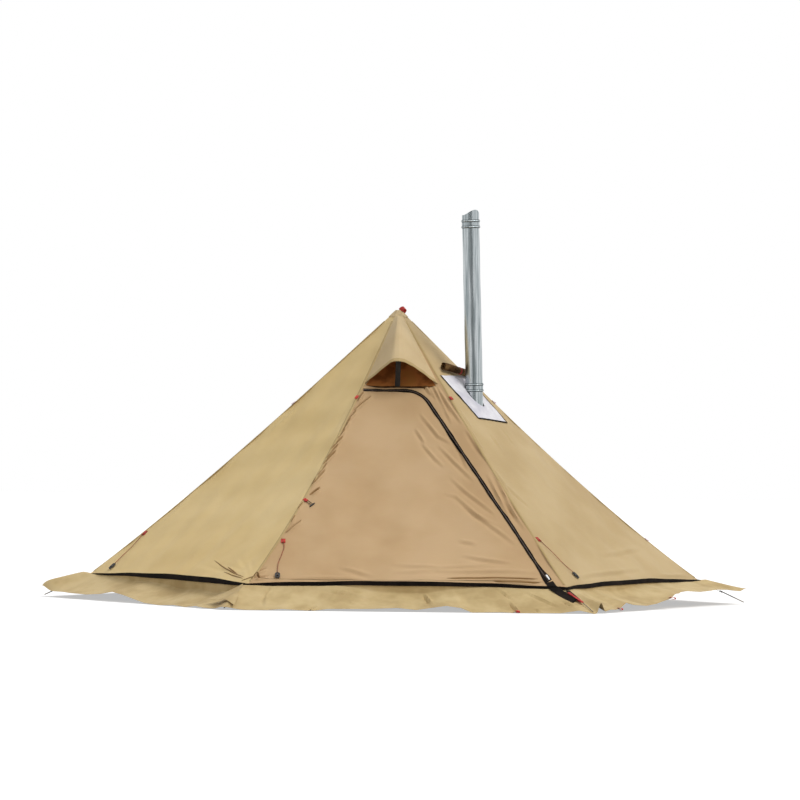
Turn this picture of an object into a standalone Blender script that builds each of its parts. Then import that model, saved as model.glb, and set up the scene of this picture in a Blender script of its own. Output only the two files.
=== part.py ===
"""Hot tent: a six-sided pyramid tent of light cloth on one centre pole, with a snow skirt, a propped vent
hood, a zipped door, a stove jack, a box stove and its flue pipe.

Metres, +Z up. The front side, with the door, faces -Y. The origin is on the ground under the apex.
Corners and sides are numbered counterclockwise from the front left corner; side 0 is the front.
"""

import math

import bmesh
import bpy
from mathutils import Matrix, Vector
from mathutils.bvhtree import BVHTree

# Canopy: the sizes that drive everything else
CORNER_RADIUS = 1.600
CANOPY_RISE = 1.410
HEM_HEIGHT = 0.120
SIDE_COUNT = 6
CLOTH = 0.0020
GAP = 0.0003
APEX_HEIGHT = HEM_HEIGHT + CANOPY_RISE

# The ridges bow inwards under tension, and the cloth between them sags or is pushed out
RIDGE_BOW = 0.050
RIDGE_BOW_SHARES = (2.2, 0.6, 1.36, 1.0, 1.0, 0.82)
BOW_PEAK_SHARE = 0.75
SIDE_SAG = 0.020
SIDE_SAG_SHARES = (1.0, -1.85, 1.0, 1.0, 1.0, 1.0)
HEM_ARCH = 0.015
ARCH_FADE_POWER = 4
SEAM_INSET = 0.0016
WALL_TOP_SHARE = 0.972

# Snow skirt and hem
HEM_BAND = 0.025
BAND_THICKNESS = 0.0020
BAND_LIFT = 0.0008
SKIRT_WIDTH = 0.210
SKIRT_FOLD = 0.020
SKIRT_FOLDS = 5

# Door and zip, measured on the front face
ZIP_TOP_DROP = 0.432
ZIP_CORNER_INSET = 0.132
ZIP_FOOT_INSET = 0.071
ZIP_FILLET = 0.140
TAPE_WIDTH = 0.014
TAPE_LIFT = 0.0008
TAPE_THICKNESS = 0.0012
DOOR_SILL = 0.003
DOOR_RELIEF = 0.0010

# Vent under the hood, measured down from the apex
VENT_SILL_DROP = 0.408
VENT_TOP_DROP = 0.215
VENT_SIDE_INSET = 0.045
MESH_MARGIN = 0.014
MESH_THICKNESS = 0.0010
HOOD_TOP_SHARE = 0.930
HOOD_LIP_DROP = 0.392
HOOD_LIP_OUT = 0.118
HOOD_LIP_UP = 0.115
HOOD_EDGE_SHARES = (0.012, 0.945)
HOOD_PEAK_SHARE = 0.445
HOOD_PLATEAU_SHARE = 0.12
HOOD_LIFT = 0.0007
HOOD_BULGE = 0.012
PROP_WIDTH = 0.027
PROP_THICKNESS = 0.0030
PROP_LEAN = math.radians(30.0)
PROP_STANDOFF = 0.0045

# Flue pipe and stove jack
PIPE_RADIUS = 0.045
PIPE_WALL = 0.0010
PIPE_TOP_HEIGHT = 2.015
PIPE_LIP_RISE = 0.026
PIPE_LEAN = math.radians(1.95)
JACK_DROP = 0.460
JACK_SETBACK = 0.0020
JACK_RIDGE_CLEARANCE = 0.0447
JACK_LENGTH = 0.216
JACK_SHIFT = -0.010
JACK_THICKNESS = 0.0020
JACK_HOLE_CLEARANCE = 0.0048
WALL_HOLE_CLEARANCE = 0.014
BINDING_WIDTH = 0.010
ROLL_RADIUS = 0.021
ROLL_END_INSET = 0.030
ROLL_RISE = 0.011
ROLL_SLOPE_SHARE = -0.163
BAND_RING_HEIGHT = 0.042
BEAD_RADIUS = 0.0030
BEAD_SPACING = 0.031
TOP_RING_DROP = 0.068
JACK_RING_RISE = 0.028

# Centre pole
POLE_RADIUS = 0.016
POLE_WALL = 0.0015
POLE_JOINT_HEIGHT = 0.950
POLE_OVERLAP = 0.100
POLE_CLEARANCE = 0.0004
POLE_COLLAR_RADIUS = 0.020
POLE_COLLAR_LENGTH = 0.050
POLE_FOOT_RADIUS = 0.030
POLE_FOOT_HEIGHT = 0.024
POLE_TIP_RADIUS = 0.007
POLE_TIP_LENGTH = 0.035

# Box stove
STOVE_WIDTH = 0.220
STOVE_LENGTH = 0.400
STOVE_BODY_HEIGHT = 0.200
STOVE_LEG_HEIGHT = 0.170
STOVE_WALL = 0.0020
FLUE_SETBACK = 0.075
FLUE_COLLAR_RADIUS = 0.042
FLUE_COLLAR_HEIGHT = 0.030
DOOR_MOUTH_WIDTH = 0.140
DOOR_MOUTH_HEIGHT = 0.110
STOVE_DOOR_LAP = 0.012
STOVE_DOOR_THICKNESS = 0.0030
HINGE_BARREL_RADIUS = 0.004
KNUCKLE_LENGTH = 0.014
LEG_WIRE_RADIUS = 0.003
LEG_INSET = 0.030
LUG_SIZE = 0.012

# Guy points, cords and pegs
CORD_RADIUS = 0.0015
TAB_WIDTH = 0.024
TAB_LENGTH = 0.030
WEBBING = 0.0030
TAB_LIFT = 0.0005
LOCK_WIDTH = 0.026
LOCK_LENGTH = 0.044
LOCK_THICKNESS = 0.0050
LOCK_LIFT = 0.0035
LOCK_HOLE_RADII = (0.0050, 0.0070)
LOCK_HOLE_SHIFTS = (0.0125, -0.0085)
CORD_LIFT = 0.0035
CORD_SWAY = 0.004
CORD_STEPS = 29
TIEBACK_WIDTH = 0.015
TIEBACK_LENGTH = 0.046
TIEBACK_BAND = 0.0030
TIEBACK_SLANT = math.radians(45.0)
TOGGLE_RADIUS = 0.0035
TOGGLE_LENGTH = 0.038
LOOP_WIDTH = 0.025
LOOP_LENGTH = 0.120
LOOP_SLOT = 0.009
PEG_RADIUS = 0.0025
PEG_LENGTH = 0.140

COLOURS = {
    "tan cloth": ((0.56, 0.39, 0.23), 0.75, 0.0),
    "black webbing": ((0.012, 0.010, 0.010), 0.8, 0.0),
    "red webbing": ((0.45, 0.02, 0.02), 0.7, 0.0),
    "brown mesh": ((0.13, 0.05, 0.015), 0.9, 0.0),
    "heat cloth": ((0.72, 0.70, 0.70), 0.6, 0.0),
    "rolled cloth": ((0.07, 0.045, 0.025), 0.8, 0.0),
    "steel": ((0.55, 0.58, 0.60), 0.3, 1.0),
    "stove steel": ((0.22, 0.21, 0.20), 0.45, 1.0),
    "aluminium": ((0.70, 0.71, 0.72), 0.35, 1.0),
    "black plastic": ((0.01, 0.01, 0.01), 0.4, 0.0),
    "rubber": ((0.015, 0.015, 0.015), 0.85, 0.0),
    "red cord": ((0.40, 0.09, 0.05), 0.8, 0.0),
}

for leftover in list(bpy.data.objects):
    bpy.data.objects.remove(leftover)

PARTS = bpy.data.collections.new("hot_tent")
CUTTERS = bpy.data.collections.new("cutters")
bpy.context.scene.collection.children.link(PARTS)
bpy.context.scene.collection.children.link(CUTTERS)


# Objects, materials and modifiers

def finish(obj, colour_name):
    """Give the object its own material."""
    colour, roughness, metallic = COLOURS[colour_name]
    material = bpy.data.materials.new(obj.name)
    material.use_nodes = True
    shader = material.node_tree.nodes["Principled BSDF"]
    shader.inputs["Base Color"].default_value = (*colour, 1.0)
    shader.inputs["Roughness"].default_value = roughness
    shader.inputs["Metallic"].default_value = metallic
    obj.data.materials.append(material)


def add_part(name, data, colour_name, matrix=None):
    """Link a mesh or curve as a named piece."""
    obj = bpy.data.objects.new(name, data)
    PARTS.objects.link(obj)
    if matrix is not None:
        obj.matrix_world = matrix
    finish(obj, colour_name)
    return obj


def add_cutter(name, data, matrix=None):
    """Link a mesh that only shapes other pieces."""
    obj = bpy.data.objects.new(name, data)
    CUTTERS.objects.link(obj)
    obj.hide_render = True
    obj.display_type = "WIRE"
    if matrix is not None:
        obj.matrix_world = matrix
    return obj


def combine(obj, tool, operation):
    """Cut, join or intersect an object with a cutter."""
    boolean = obj.modifiers.new(tool.name, "BOOLEAN")
    boolean.operation = operation
    boolean.solver = "EXACT"
    boolean.object = tool


def thicken(obj, thickness, side):
    """Turn an open surface into a sheet; side -1 grows inwards and +1 outwards."""
    solidify = obj.modifiers.new("Sheet", "SOLIDIFY")
    solidify.thickness = thickness
    solidify.offset = side
    solidify.use_even_offset = True


def smooth(mesh, degrees=35.0):
    """Shade round, with sharp edges kept."""
    mesh.shade_smooth()
    mesh.set_sharp_from_angle(angle=math.radians(degrees))


def axes_matrix(origin, x_axis, y_axis, z_axis):
    """A placement from an origin and three unit axes."""
    matrix = Matrix.Identity(4)
    for column, axis in enumerate((x_axis, y_axis, z_axis)):
        for row in range(3):
            matrix[row][column] = axis[row]
    matrix.translation = origin
    return matrix


# Mesh makers

def grid_mesh(name, point, columns, rows, weld=False):
    """A grid whose points come from point(u, v), with u and v from 0 to 1."""
    bm = bmesh.new()
    bmesh.ops.create_grid(bm, x_segments=columns, y_segments=rows, size=0.5)
    for vert in bm.verts:
        vert.co = point(vert.co.x + 0.5, vert.co.y + 0.5)
    if weld:
        bmesh.ops.remove_doubles(bm, verts=bm.verts, dist=GAP / 100)
    bmesh.ops.triangulate(bm, faces=bm.faces)
    mesh = bpy.data.meshes.new(name)
    bm.to_mesh(mesh)
    bm.free()
    return mesh


def box_mesh(name, size, centre=(0.0, 0.0, 0.0), bevel=0.0):
    """A box, with its edges rounded if a bevel is given."""
    bm = bmesh.new()
    bmesh.ops.create_cube(bm, size=1.0)
    for vert in bm.verts:
        vert.co = Vector(centre) + Vector(a * b for a, b in zip(vert.co, size))
    if bevel:
        bmesh.ops.bevel(bm, geom=bm.edges, offset=bevel, segments=2, profile=0.5, affect="EDGES")
    mesh = bpy.data.meshes.new(name)
    bm.to_mesh(mesh)
    bm.free()
    return mesh


def rod_mesh(name, radius, length, segments=24, base_at_zero=False):
    """A solid cylinder along Z."""
    bm = bmesh.new()
    bmesh.ops.create_cone(
        bm, cap_ends=True, segments=segments, radius1=radius, radius2=radius, depth=length
    )
    if base_at_zero:
        bmesh.ops.translate(bm, verts=bm.verts, vec=(0.0, 0.0, length / 2))
    mesh = bpy.data.meshes.new(name)
    bm.to_mesh(mesh)
    bm.free()
    smooth(mesh)
    return mesh


def outline_curve(name, loops, depth):
    """A flat plate: the first loop is its edge, the others are its holes."""
    curve = bpy.data.curves.new(name, "CURVE")
    curve.dimensions = "2D"
    curve.fill_mode = "BOTH"
    curve.extrude = depth / 2
    for loop in loops:
        spline = curve.splines.new("POLY")
        spline.points.add(len(loop) - 1)
        for point, (x, y) in zip(spline.points, loop):
            point.co = (x, y, 0.0, 1.0)
        spline.use_cyclic_u = True
    return curve


def wire_curve(name, points, radius, resolution=2):
    """A round wire, cord or tube along a list of points."""
    curve = bpy.data.curves.new(name, "CURVE")
    curve.dimensions = "3D"
    curve.bevel_depth = radius
    curve.bevel_resolution = resolution
    curve.use_fill_caps = True
    spline = curve.splines.new("POLY")
    spline.points.add(len(points) - 1)
    for point, place in zip(spline.points, points):
        point.co = (*place, 1.0)
    return curve


def curve_to_mesh(curve, matrix):
    """The welded mesh of a curve, in the curve object's own space."""
    holder = bpy.data.objects.new("curve_holder", curve)
    CUTTERS.objects.link(holder)
    depsgraph = bpy.context.evaluated_depsgraph_get()
    mesh = bpy.data.meshes.new_from_object(holder.evaluated_get(depsgraph))
    bpy.data.objects.remove(holder)
    bm = bmesh.new()
    bm.from_mesh(mesh)
    bmesh.ops.remove_doubles(bm, verts=bm.verts, dist=GAP / 30)
    bmesh.ops.recalc_face_normals(bm, faces=bm.faces)
    bm.to_mesh(mesh)
    bm.free()
    return mesh, matrix


def turned(name, profile, segments, colour_name, matrix=None, hollow=False):
    """A round piece: its (radius, height) profile runs down the outer side, from top to bottom."""
    edges = [(index, index + 1) for index in range(len(profile) - 1)]
    if hollow:
        edges.append((len(profile) - 1, 0))
    mesh = bpy.data.meshes.new(name)
    mesh.from_pydata([(radius, 0.0, height) for radius, height in profile], edges, [])
    obj = add_part(name, mesh, colour_name, matrix)
    screw = obj.modifiers.new("Turned", "SCREW")
    screw.angle = math.tau
    screw.steps = segments
    screw.render_steps = segments
    screw.use_merge_vertices = True
    screw.merge_threshold = GAP / 30
    screw.use_smooth_shade = True
    return obj


def arc(centre, radius, start, end, count):
    """Points of a flat arc, angles in radians."""
    return [
        (
            centre[0] + radius * math.cos(start + (end - start) * step / count),
            centre[1] + radius * math.sin(start + (end - start) * step / count),
        )
        for step in range(count + 1)
    ]


def rounded_rectangle(width, length, radius, steps=4):
    """Outline of a plate with round corners, centred on the origin."""
    x = width / 2 - radius
    y = length / 2 - radius
    points = []
    for quarter, (cx, cy) in enumerate(((x, y), (-x, y), (-x, -y), (x, -y))):
        start = quarter * math.pi / 2
        points += arc((cx, cy), radius, start, start + math.pi / 2, steps)
    return points


def hermite(start, end, slope_in, slope_out, share):
    """A point of the smooth curve between two points with given slopes."""
    ease = share * share * (3 - 2 * share)
    lead = share * (1 - share) ** 2
    trail = share ** 2 * (share - 1)
    return start.lerp(end, ease) + slope_in * lead + slope_out * trail


def smooth_route(route, count):
    """Evenly spaced points on one smooth curve through the route's own points."""
    knots = [Vector(point) for point in route]
    ends = [2 * knots[0] - knots[1]] + knots + [2 * knots[-1] - knots[-2]]
    fine = []
    for a, b, c, d in zip(ends, ends[1:], ends[2:], ends[3:]):
        for step in range(24):
            t = step / 24
            slope_in = (c - a) / 2
            slope_out = (d - b) / 2
            fine.append(hermite(b, c, slope_in, slope_out, t))
    fine.append(knots[-1])
    reach = [0.0]
    for a, b in zip(fine, fine[1:]):
        reach.append(reach[-1] + (b - a).length)
    points = []
    segment = 0
    for step in range(count + 1):
        goal = reach[-1] * step / count
        while segment < len(fine) - 2 and reach[segment + 1] < goal:
            segment += 1
        span = reach[segment + 1] - reach[segment]
        points.append(fine[segment].lerp(fine[segment + 1], (goal - reach[segment]) / span))
    return points


# The canopy's surface

CORNERS = ("front_left", "front_right", "right", "rear_right", "rear_left", "left")
SIDES = ("front", "front_right", "rear_right", "rear", "rear_left", "front_left")
FRONT, FRONT_RIGHT_SIDE, FRONT_LEFT_SIDE = 0, 1, 5
HALF_TURN_OF_SIDE = math.pi / SIDE_COUNT
FIRST_CORNER_ANGLE = -math.pi / 2 - HALF_TURN_OF_SIDE
APOTHEM = CORNER_RADIUS * math.cos(HALF_TURN_OF_SIDE)


def heading(angle):
    """Level unit vector."""
    return Vector((math.cos(angle), math.sin(angle), 0.0))


def corner_heading(corner):
    """Level direction from the tent's axis to a corner."""
    return heading(FIRST_CORNER_ANGLE + 2 * HALF_TURN_OF_SIDE * corner)


def side_heading(side):
    """Level direction that a side faces."""
    return heading(FIRST_CORNER_ANGLE + 2 * HALF_TURN_OF_SIDE * (side + 0.5))


def side_run(side):
    """Level direction along a side, counterclockwise."""
    return Vector((0.0, 0.0, 1.0)).cross(side_heading(side))


def side_normal(side):
    """Outward normal of a side's plane."""
    return (side_heading(side) * CANOPY_RISE + Vector((0.0, 0.0, APOTHEM))).normalized()


def half_width(height):
    """Half the width of a flat side at a height."""
    return CORNER_RADIUS / 2 * (APEX_HEIGHT - height) / CANOPY_RISE


def bow_share(rise):
    """How far a ridge is bowed at a share of its rise."""
    return math.sin(math.pi * min(max(rise, 0.0), 1.0) ** BOW_PEAK_SHARE)


def ridge_point(corner, rise):
    """A point on a ridge, from the hem corner at 0 to the apex at 1."""
    corner %= SIDE_COUNT
    bow = RIDGE_BOW * RIDGE_BOW_SHARES[corner] * bow_share(rise)
    level = corner_heading(corner) * (CORNER_RADIUS * (1 - rise) - bow)
    return level + Vector((0.0, 0.0, HEM_HEIGHT + CANOPY_RISE * rise))


def cloth_point(side, across, rise, inset=SEAM_INSET):
    """A point on the outer face of a side's cloth."""
    start = ridge_point(side, rise)
    end = ridge_point(side + 1, rise)
    margin = inset / (end - start).length
    share = margin + across * (1 - 2 * margin)
    point = start.lerp(end, share)
    hollow = 4 * share * (1 - share)
    point -= side_heading(side) * SIDE_SAG * SIDE_SAG_SHARES[side] * hollow * math.sin(math.pi * rise)
    point.z += HEM_ARCH * hollow * (1 - rise) ** ARCH_FADE_POWER
    return point


class ClothFace:
    """One side's cloth, and places measured on it."""

    def __init__(self, side, columns, rows):
        self.side = side
        self.run = side_run(side)
        self.heading = side_heading(side)
        self.normal = side_normal(side)
        self.up_slope = self.normal.cross(self.run)
        self.mesh = grid_mesh(
            "cloth", lambda u, v: cloth_point(side, u, v * WALL_TOP_SHARE), columns, rows
        )
        bm = bmesh.new()
        bm.from_mesh(self.mesh)
        self.tree = BVHTree.FromBMesh(bm)
        bm.free()

    def at(self, along, height, lift=0.0):
        """The cloth's point at a level distance from the side's middle and a height, lifted off it."""
        origin = self.run * along + self.heading * 2 * CORNER_RADIUS + Vector((0.0, 0.0, height))
        hit = self.tree.ray_cast(origin, -self.heading)[0]
        return hit + self.normal * lift

    def seat(self, along, height, width, length, lift):
        """Placement of a flat piece on the cloth: X along the side, Y up the slope, Z outwards."""
        spots = {
            (i, j): self.at(along + i * width / 2, height + j * length / 2 * self.up_slope.z)
            for i in (-1, 0, 1)
            for j in (-1, 0, 1)
        }
        run = (spots[1, 0] - spots[-1, 0]).normalized()
        out = run.cross(spots[0, 1] - spots[0, -1]).normalized()
        proud = max((spot - spots[0, 0]).dot(out) for spot in spots.values())
        return axes_matrix(spots[0, 0] + out * (proud + lift), run, out.cross(run), out)

    def sheet(self, name, colour_name="tan cloth"):
        """The side's cloth as a sheet that grows inwards."""
        obj = add_part(name, self.mesh.copy(), colour_name)
        thicken(obj, CLOTH, -1)
        return obj


def offset_path(path, distance):
    """A flat path moved to its left by a distance, with mitred corners."""
    moved = []
    for index, (x, y) in enumerate(path):
        before = Vector(path[max(index - 1, 0)])
        after = Vector(path[min(index + 1, len(path) - 1)])
        here = Vector((x, y))
        first = (here - before).normalized() if index else (after - here).normalized()
        second = (after - here).normalized() if index < len(path) - 1 else first
        left = Vector((-first.y - second.y, first.x + second.x)).normalized()
        stretch = max(left.dot(Vector((-first.y, first.x))), 0.5)
        moved.append(here + left * distance / stretch)
    return moved


def ribbon(name, face, path, near, far, lift, thickness, colour_name):
    """A flat strip along a path on a side's cloth, between two distances to the path's left."""
    edges = (offset_path(path, near), offset_path(path, far))
    last = len(path) - 1

    def point(u, v):
        along, height = edges[round(v)][round(u * last)]
        return face.at(along, height, lift)

    obj = add_part(name, grid_mesh(name, point, last, 1), colour_name)
    thicken(obj, thickness, 1)
    return obj


FRONT_FACE = ClothFace(FRONT, 16, 22)
JACK_FACE = ClothFace(FRONT_RIGHT_SIDE, 10, 14)
FRONT_LEFT_FACE = ClothFace(FRONT_LEFT_SIDE, 8, 12)


# Walls, hem and skirt

def build_walls():
    """The four plain sides."""
    FRONT_LEFT_FACE.sheet("wall_front_left")
    for side, name in enumerate(SIDES):
        if side not in (FRONT, FRONT_RIGHT_SIDE, FRONT_LEFT_SIDE):
            ClothFace(side, 8, 12).sheet("wall_" + name)


def hem_point(side, across):
    """A point of the hem line, on a side or on past it."""
    start = corner_heading(side) * CORNER_RADIUS
    end = corner_heading(side + 1) * CORNER_RADIUS
    point = start.lerp(end, across)
    point.z = HEM_HEIGHT + HEM_ARCH * 4 * across * (1 - across)
    return point


def build_hem_band():
    """The webbing sewn all round the hem, over the seam of walls and skirt."""
    def point(u, v):
        place = min(u, 1.0) * SIDE_COUNT
        side = min(int(place + GAP), SIDE_COUNT - 1)
        base = hem_point(side, place - side)
        grow = 1 + BAND_LIFT / CORNER_RADIUS
        return Vector((base.x * grow, base.y * grow, base.z + (v - 0.5) * HEM_BAND))

    mesh = grid_mesh("hem_webbing", point, SIDE_COUNT * 10, 1, weld=True)
    obj = add_part("hem_webbing", mesh, "black webbing")
    thicken(obj, BAND_THICKNESS, 1)


def skirt_point(side, across, drop):
    """A point of the skirt, from its top edge under the hem band to its outer edge on the ground."""
    margin = SEAM_INSET / CORNER_RADIUS
    share = margin + across * (1 - 2 * margin)
    top = hem_point(side, share)
    out = side_heading(side) + side_run(side) * math.tan(HALF_TURN_OF_SIDE) * (2 * share - 1)
    top_height = top.z - HEM_BAND / 2 - GAP
    fold = math.sin(math.pi * SKIRT_FOLDS * share) ** 2 * (0.6 + 0.4 * math.cos(3 * math.pi * share))
    height = CLOTH + (top_height - CLOTH) * (1 - drop) + SKIRT_FOLD * fold * drop
    point = top + out * (BAND_LIFT + BAND_THICKNESS / 2 + SKIRT_WIDTH * drop)
    point.z = height
    return point


def build_skirts():
    """The snow skirt, one piece a side, joined at the corners."""
    for side, name in enumerate(SIDES):
        mesh = grid_mesh(name, lambda u, v, s=side: skirt_point(s, u, 1 - v), 20, 3)
        obj = add_part("skirt_" + name, mesh, "tan cloth")
        thicken(obj, CLOTH, -1)


# Front: door, zip and panel

FRONT_HALF = CORNER_RADIUS / 2
ZIP_TOP_HEIGHT = APEX_HEIGHT - ZIP_TOP_DROP
ZIP_TOP_RISE = (ZIP_TOP_HEIGHT - HEM_HEIGHT) / CANOPY_RISE
ZIP_START = ridge_point(0, ZIP_TOP_RISE).x + TAPE_WIDTH
ZIP_CORNER = ridge_point(1, ZIP_TOP_RISE).x - ZIP_CORNER_INSET
ZIP_FOOT = FRONT_HALF - ZIP_FOOT_INSET
DOOR_FOOT_HEIGHT = HEM_HEIGHT + HEM_ARCH + HEM_BAND / 2 + DOOR_SILL
ZIP_SLOPE = math.atan2(ZIP_TOP_HEIGHT - HEM_HEIGHT, ZIP_FOOT - ZIP_CORNER)


def zip_slope_x(height):
    """Where the zip's straight slope is at a height."""
    return ZIP_CORNER + (ZIP_TOP_HEIGHT - height) / math.tan(ZIP_SLOPE)


def zip_path(start, foot_height):
    """The zip's line on the front: along the top, round its bend and down its slope."""
    setback = ZIP_FILLET * math.tan(ZIP_SLOPE / 2)
    bend_start = ZIP_CORNER - setback
    centre = (bend_start, ZIP_TOP_HEIGHT - ZIP_FILLET)
    path = [(start + (bend_start - start) * step / 6, ZIP_TOP_HEIGHT) for step in range(6)]
    path += arc(centre, ZIP_FILLET, math.pi / 2, math.pi / 2 - ZIP_SLOPE, 8)
    bend_end = path[-1]
    foot = (zip_slope_x(foot_height), foot_height)
    path += [tuple(Vector(bend_end).lerp(Vector(foot), step / 16)) for step in range(1, 17)]
    return path


def front_cutter(name, outline):
    """A prism through the front face; the outline is in X and Z."""
    stand_up = Matrix.Rotation(math.pi / 2, 4, "X")
    mesh, matrix = curve_to_mesh(outline_curve(name, [outline], 4 * CORNER_RADIUS), stand_up)
    return add_cutter(name, mesh, matrix)


def door_outline(grow):
    """The doorway: below the zip, left as far as the ridge and down to the sill."""
    far_left = -2 * FRONT_HALF
    foot = DOOR_FOOT_HEIGHT - grow
    path = [tuple(point) for point in offset_path(zip_path(far_left, foot), grow)]
    path[-1] = (zip_slope_x(foot) + grow / math.sin(ZIP_SLOPE), foot)
    return path + [(far_left, foot)]


def build_front():
    """The front cloth as a fixed panel and the door flap, with the zip's two tapes."""
    panel = FRONT_FACE.sheet("front_panel")
    combine(panel, front_cutter("doorway_cut", door_outline(DOOR_RELIEF)), "DIFFERENCE")
    combine(panel, front_cutter("vent_cut", vent_outline(0.0)), "DIFFERENCE")
    door = FRONT_FACE.sheet("door_flap")
    combine(door, front_cutter("door_shape", door_outline(0.0)), "INTERSECT")
    path = zip_path(ZIP_START, DOOR_FOOT_HEIGHT)
    seam = DOOR_RELIEF / 2
    sizes = (TAPE_LIFT, TAPE_THICKNESS, "black webbing")
    ribbon("zip_tape_frame", FRONT_FACE, path, seam + GAP, seam + TAPE_WIDTH, *sizes)
    ribbon("zip_tape_door", FRONT_FACE, path, -TAPE_WIDTH - GAP, -GAP, *sizes)


SLIDER_WIDTH = 0.010
SLIDER_LENGTH = 0.022
SLIDER_THICKNESS = 0.0050
SLIDER_LIFT = 0.0032
PULL_WIDTH = 0.007
PULL_LENGTH = 0.030
PULL_THICKNESS = 0.0016
SLIDER_FOOT_HEIGHT = DOOR_FOOT_HEIGHT + SLIDER_LENGTH
SLIDER_TOP_DROP = 0.090


def slider_place(height):
    """The middle of the slider's back at a height on the zip's slope, beside the seam."""
    beside = (DOOR_RELIEF + SLIDER_WIDTH / 2 + GAP) / math.sin(ZIP_SLOPE)
    return FRONT_FACE.at(zip_slope_x(height) + beside, height, SLIDER_LIFT)


def build_slider():
    """The zip's slider with its pull tab, on the frame's side of the seam."""
    foot = slider_place(SLIDER_FOOT_HEIGHT)
    travel = (slider_place(ZIP_TOP_HEIGHT - SLIDER_TOP_DROP) - foot).normalized()
    out = (FRONT_FACE.normal - travel * FRONT_FACE.normal.dot(travel)).normalized()
    matrix = axes_matrix(foot, travel.cross(out), travel, out)
    size = (SLIDER_WIDTH, SLIDER_LENGTH, SLIDER_THICKNESS)
    body = box_mesh("zip_slider", size, (0.0, 0.0, SLIDER_THICKNESS / 2), SLIDER_THICKNESS / 4)
    slider = add_part("zip_slider", body, "steel", matrix)
    pull_size = (PULL_WIDTH, PULL_LENGTH, PULL_THICKNESS)
    centre = (0.0, -PULL_LENGTH / 2 + PULL_WIDTH / 2, SLIDER_THICKNESS)
    pull = add_cutter("pull_shape", box_mesh("pull_shape", pull_size, centre), matrix)
    combine(slider, pull, "UNION")


# Vent, hood and prop

def vent_outline(grow):
    """The vent's opening in the front panel."""
    sill = APEX_HEIGHT - VENT_SILL_DROP
    top = APEX_HEIGHT - VENT_TOP_DROP
    points = []
    for height, reach in ((sill, -grow), (top, grow)):
        rise = (height + reach - HEM_HEIGHT) / CANOPY_RISE
        left = ridge_point(0, rise).x + VENT_SIDE_INSET - grow
        right = ridge_point(1, rise).x - VENT_SIDE_INSET + grow
        points.append(((left, height + reach), (right, height + reach)))
    (low_left, low_right), (high_left, high_right) = points
    return [low_left, low_right, high_right, high_left]


def build_vent_mesh():
    """The insect mesh behind the vent's opening."""
    corners = [Vector(point) for point in vent_outline(MESH_MARGIN)]

    def point(u, v):
        low = corners[0].lerp(corners[1], u)
        high = corners[3].lerp(corners[2], u)
        along, height = low.lerp(high, v)
        return FRONT_FACE.at(along, height, -CLOTH - 2 * GAP)

    obj = add_part("vent_mesh", grid_mesh("vent_mesh", point, 8, 5), "brown mesh")
    thicken(obj, MESH_THICKNESS, -1)


HOOD_LIP_RISE = 1 - HOOD_LIP_DROP / CANOPY_RISE


def hood_point(across, drop):
    """A point of the hood's under side, from its top at 0 to its lip at 1."""
    left, right = HOOD_EDGE_SHARES
    share = left + (right - left) * across
    rise = HOOD_TOP_SHARE + (HOOD_LIP_RISE - HOOD_TOP_SHARE) * drop
    base = cloth_point(FRONT, share, rise) + FRONT_FACE.normal * HOOD_LIFT
    reach = HOOD_PEAK_SHARE if across < HOOD_PEAK_SHARE else 1 - HOOD_PEAK_SHARE
    offset = (across - HOOD_PEAK_SHARE) / reach
    slope = max(abs(offset) - HOOD_PLATEAU_SHARE, 0.0) / (1 - HOOD_PLATEAU_SHARE)
    proud = drop * (1 - slope ** 1.15)
    bulge = FRONT_FACE.normal * HOOD_BULGE * 4 * drop * (1 - drop) * (1 - slope)
    return base + Vector((0.0, -HOOD_LIP_OUT, HOOD_LIP_UP)) * proud + bulge


def build_hood():
    """The hood over the vent, held out by its prop."""
    mesh = grid_mesh("vent_hood", hood_point, 14, 8)
    bm = bmesh.new()
    bm.from_mesh(mesh)
    bmesh.ops.reverse_faces(bm, faces=[face for face in bm.faces])
    tree = BVHTree.FromBMesh(bm)
    bm.to_mesh(mesh)
    bm.free()
    hood = add_part("vent_hood", mesh, "tan cloth")
    thicken(hood, CLOTH, 1)
    return tree


def build_prop(hood_tree):
    """The flat strut that folds up from the vent's sill and holds the hood out."""
    left, right = HOOD_EDGE_SHARES
    share = left + (right - left) * HOOD_PEAK_SHARE
    along = cloth_point(FRONT, share, HOOD_LIP_RISE).x
    pivot = FRONT_FACE.at(along, APEX_HEIGHT - VENT_SILL_DROP - PROP_STANDOFF, PROP_STANDOFF)
    reach = Vector((0.0, -math.sin(PROP_LEAN), math.cos(PROP_LEAN)))
    out = Vector((0.0, -math.cos(PROP_LEAN), -math.sin(PROP_LEAN)))
    lengths = []
    for side in (-1, 0, 1):
        for face in (-1, 0, 1):
            origin = pivot + Vector((side * PROP_WIDTH / 2, 0.0, 0.0)) + out * face * PROP_THICKNESS / 2
            lengths.append(hood_tree.ray_cast(origin, reach)[3])
    length = min(lengths) - 2 * GAP
    half = PROP_THICKNESS / 2
    profile = arc((0.0, 0.0), half, -math.pi, 0.0, 6) + [(half, length), (-half, length)]
    matrix = axes_matrix(pivot, out, reach, Vector((1.0, 0.0, 0.0)))
    add_part("vent_prop", outline_curve("vent_prop", [profile], PROP_WIDTH), "black plastic", matrix)


# Apex

CAP_BOTTOM_SHARE = 0.942
CAP_TOP_SHARE = 0.990
CAP_THICKNESS = 0.0030
CAP_LIFT = 0.0013
HANG_LOOP_WIDTH = 0.010
HANG_LOOP_RADIUS = 0.014
HANG_LOOP_THICKNESS = 0.0025


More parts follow.
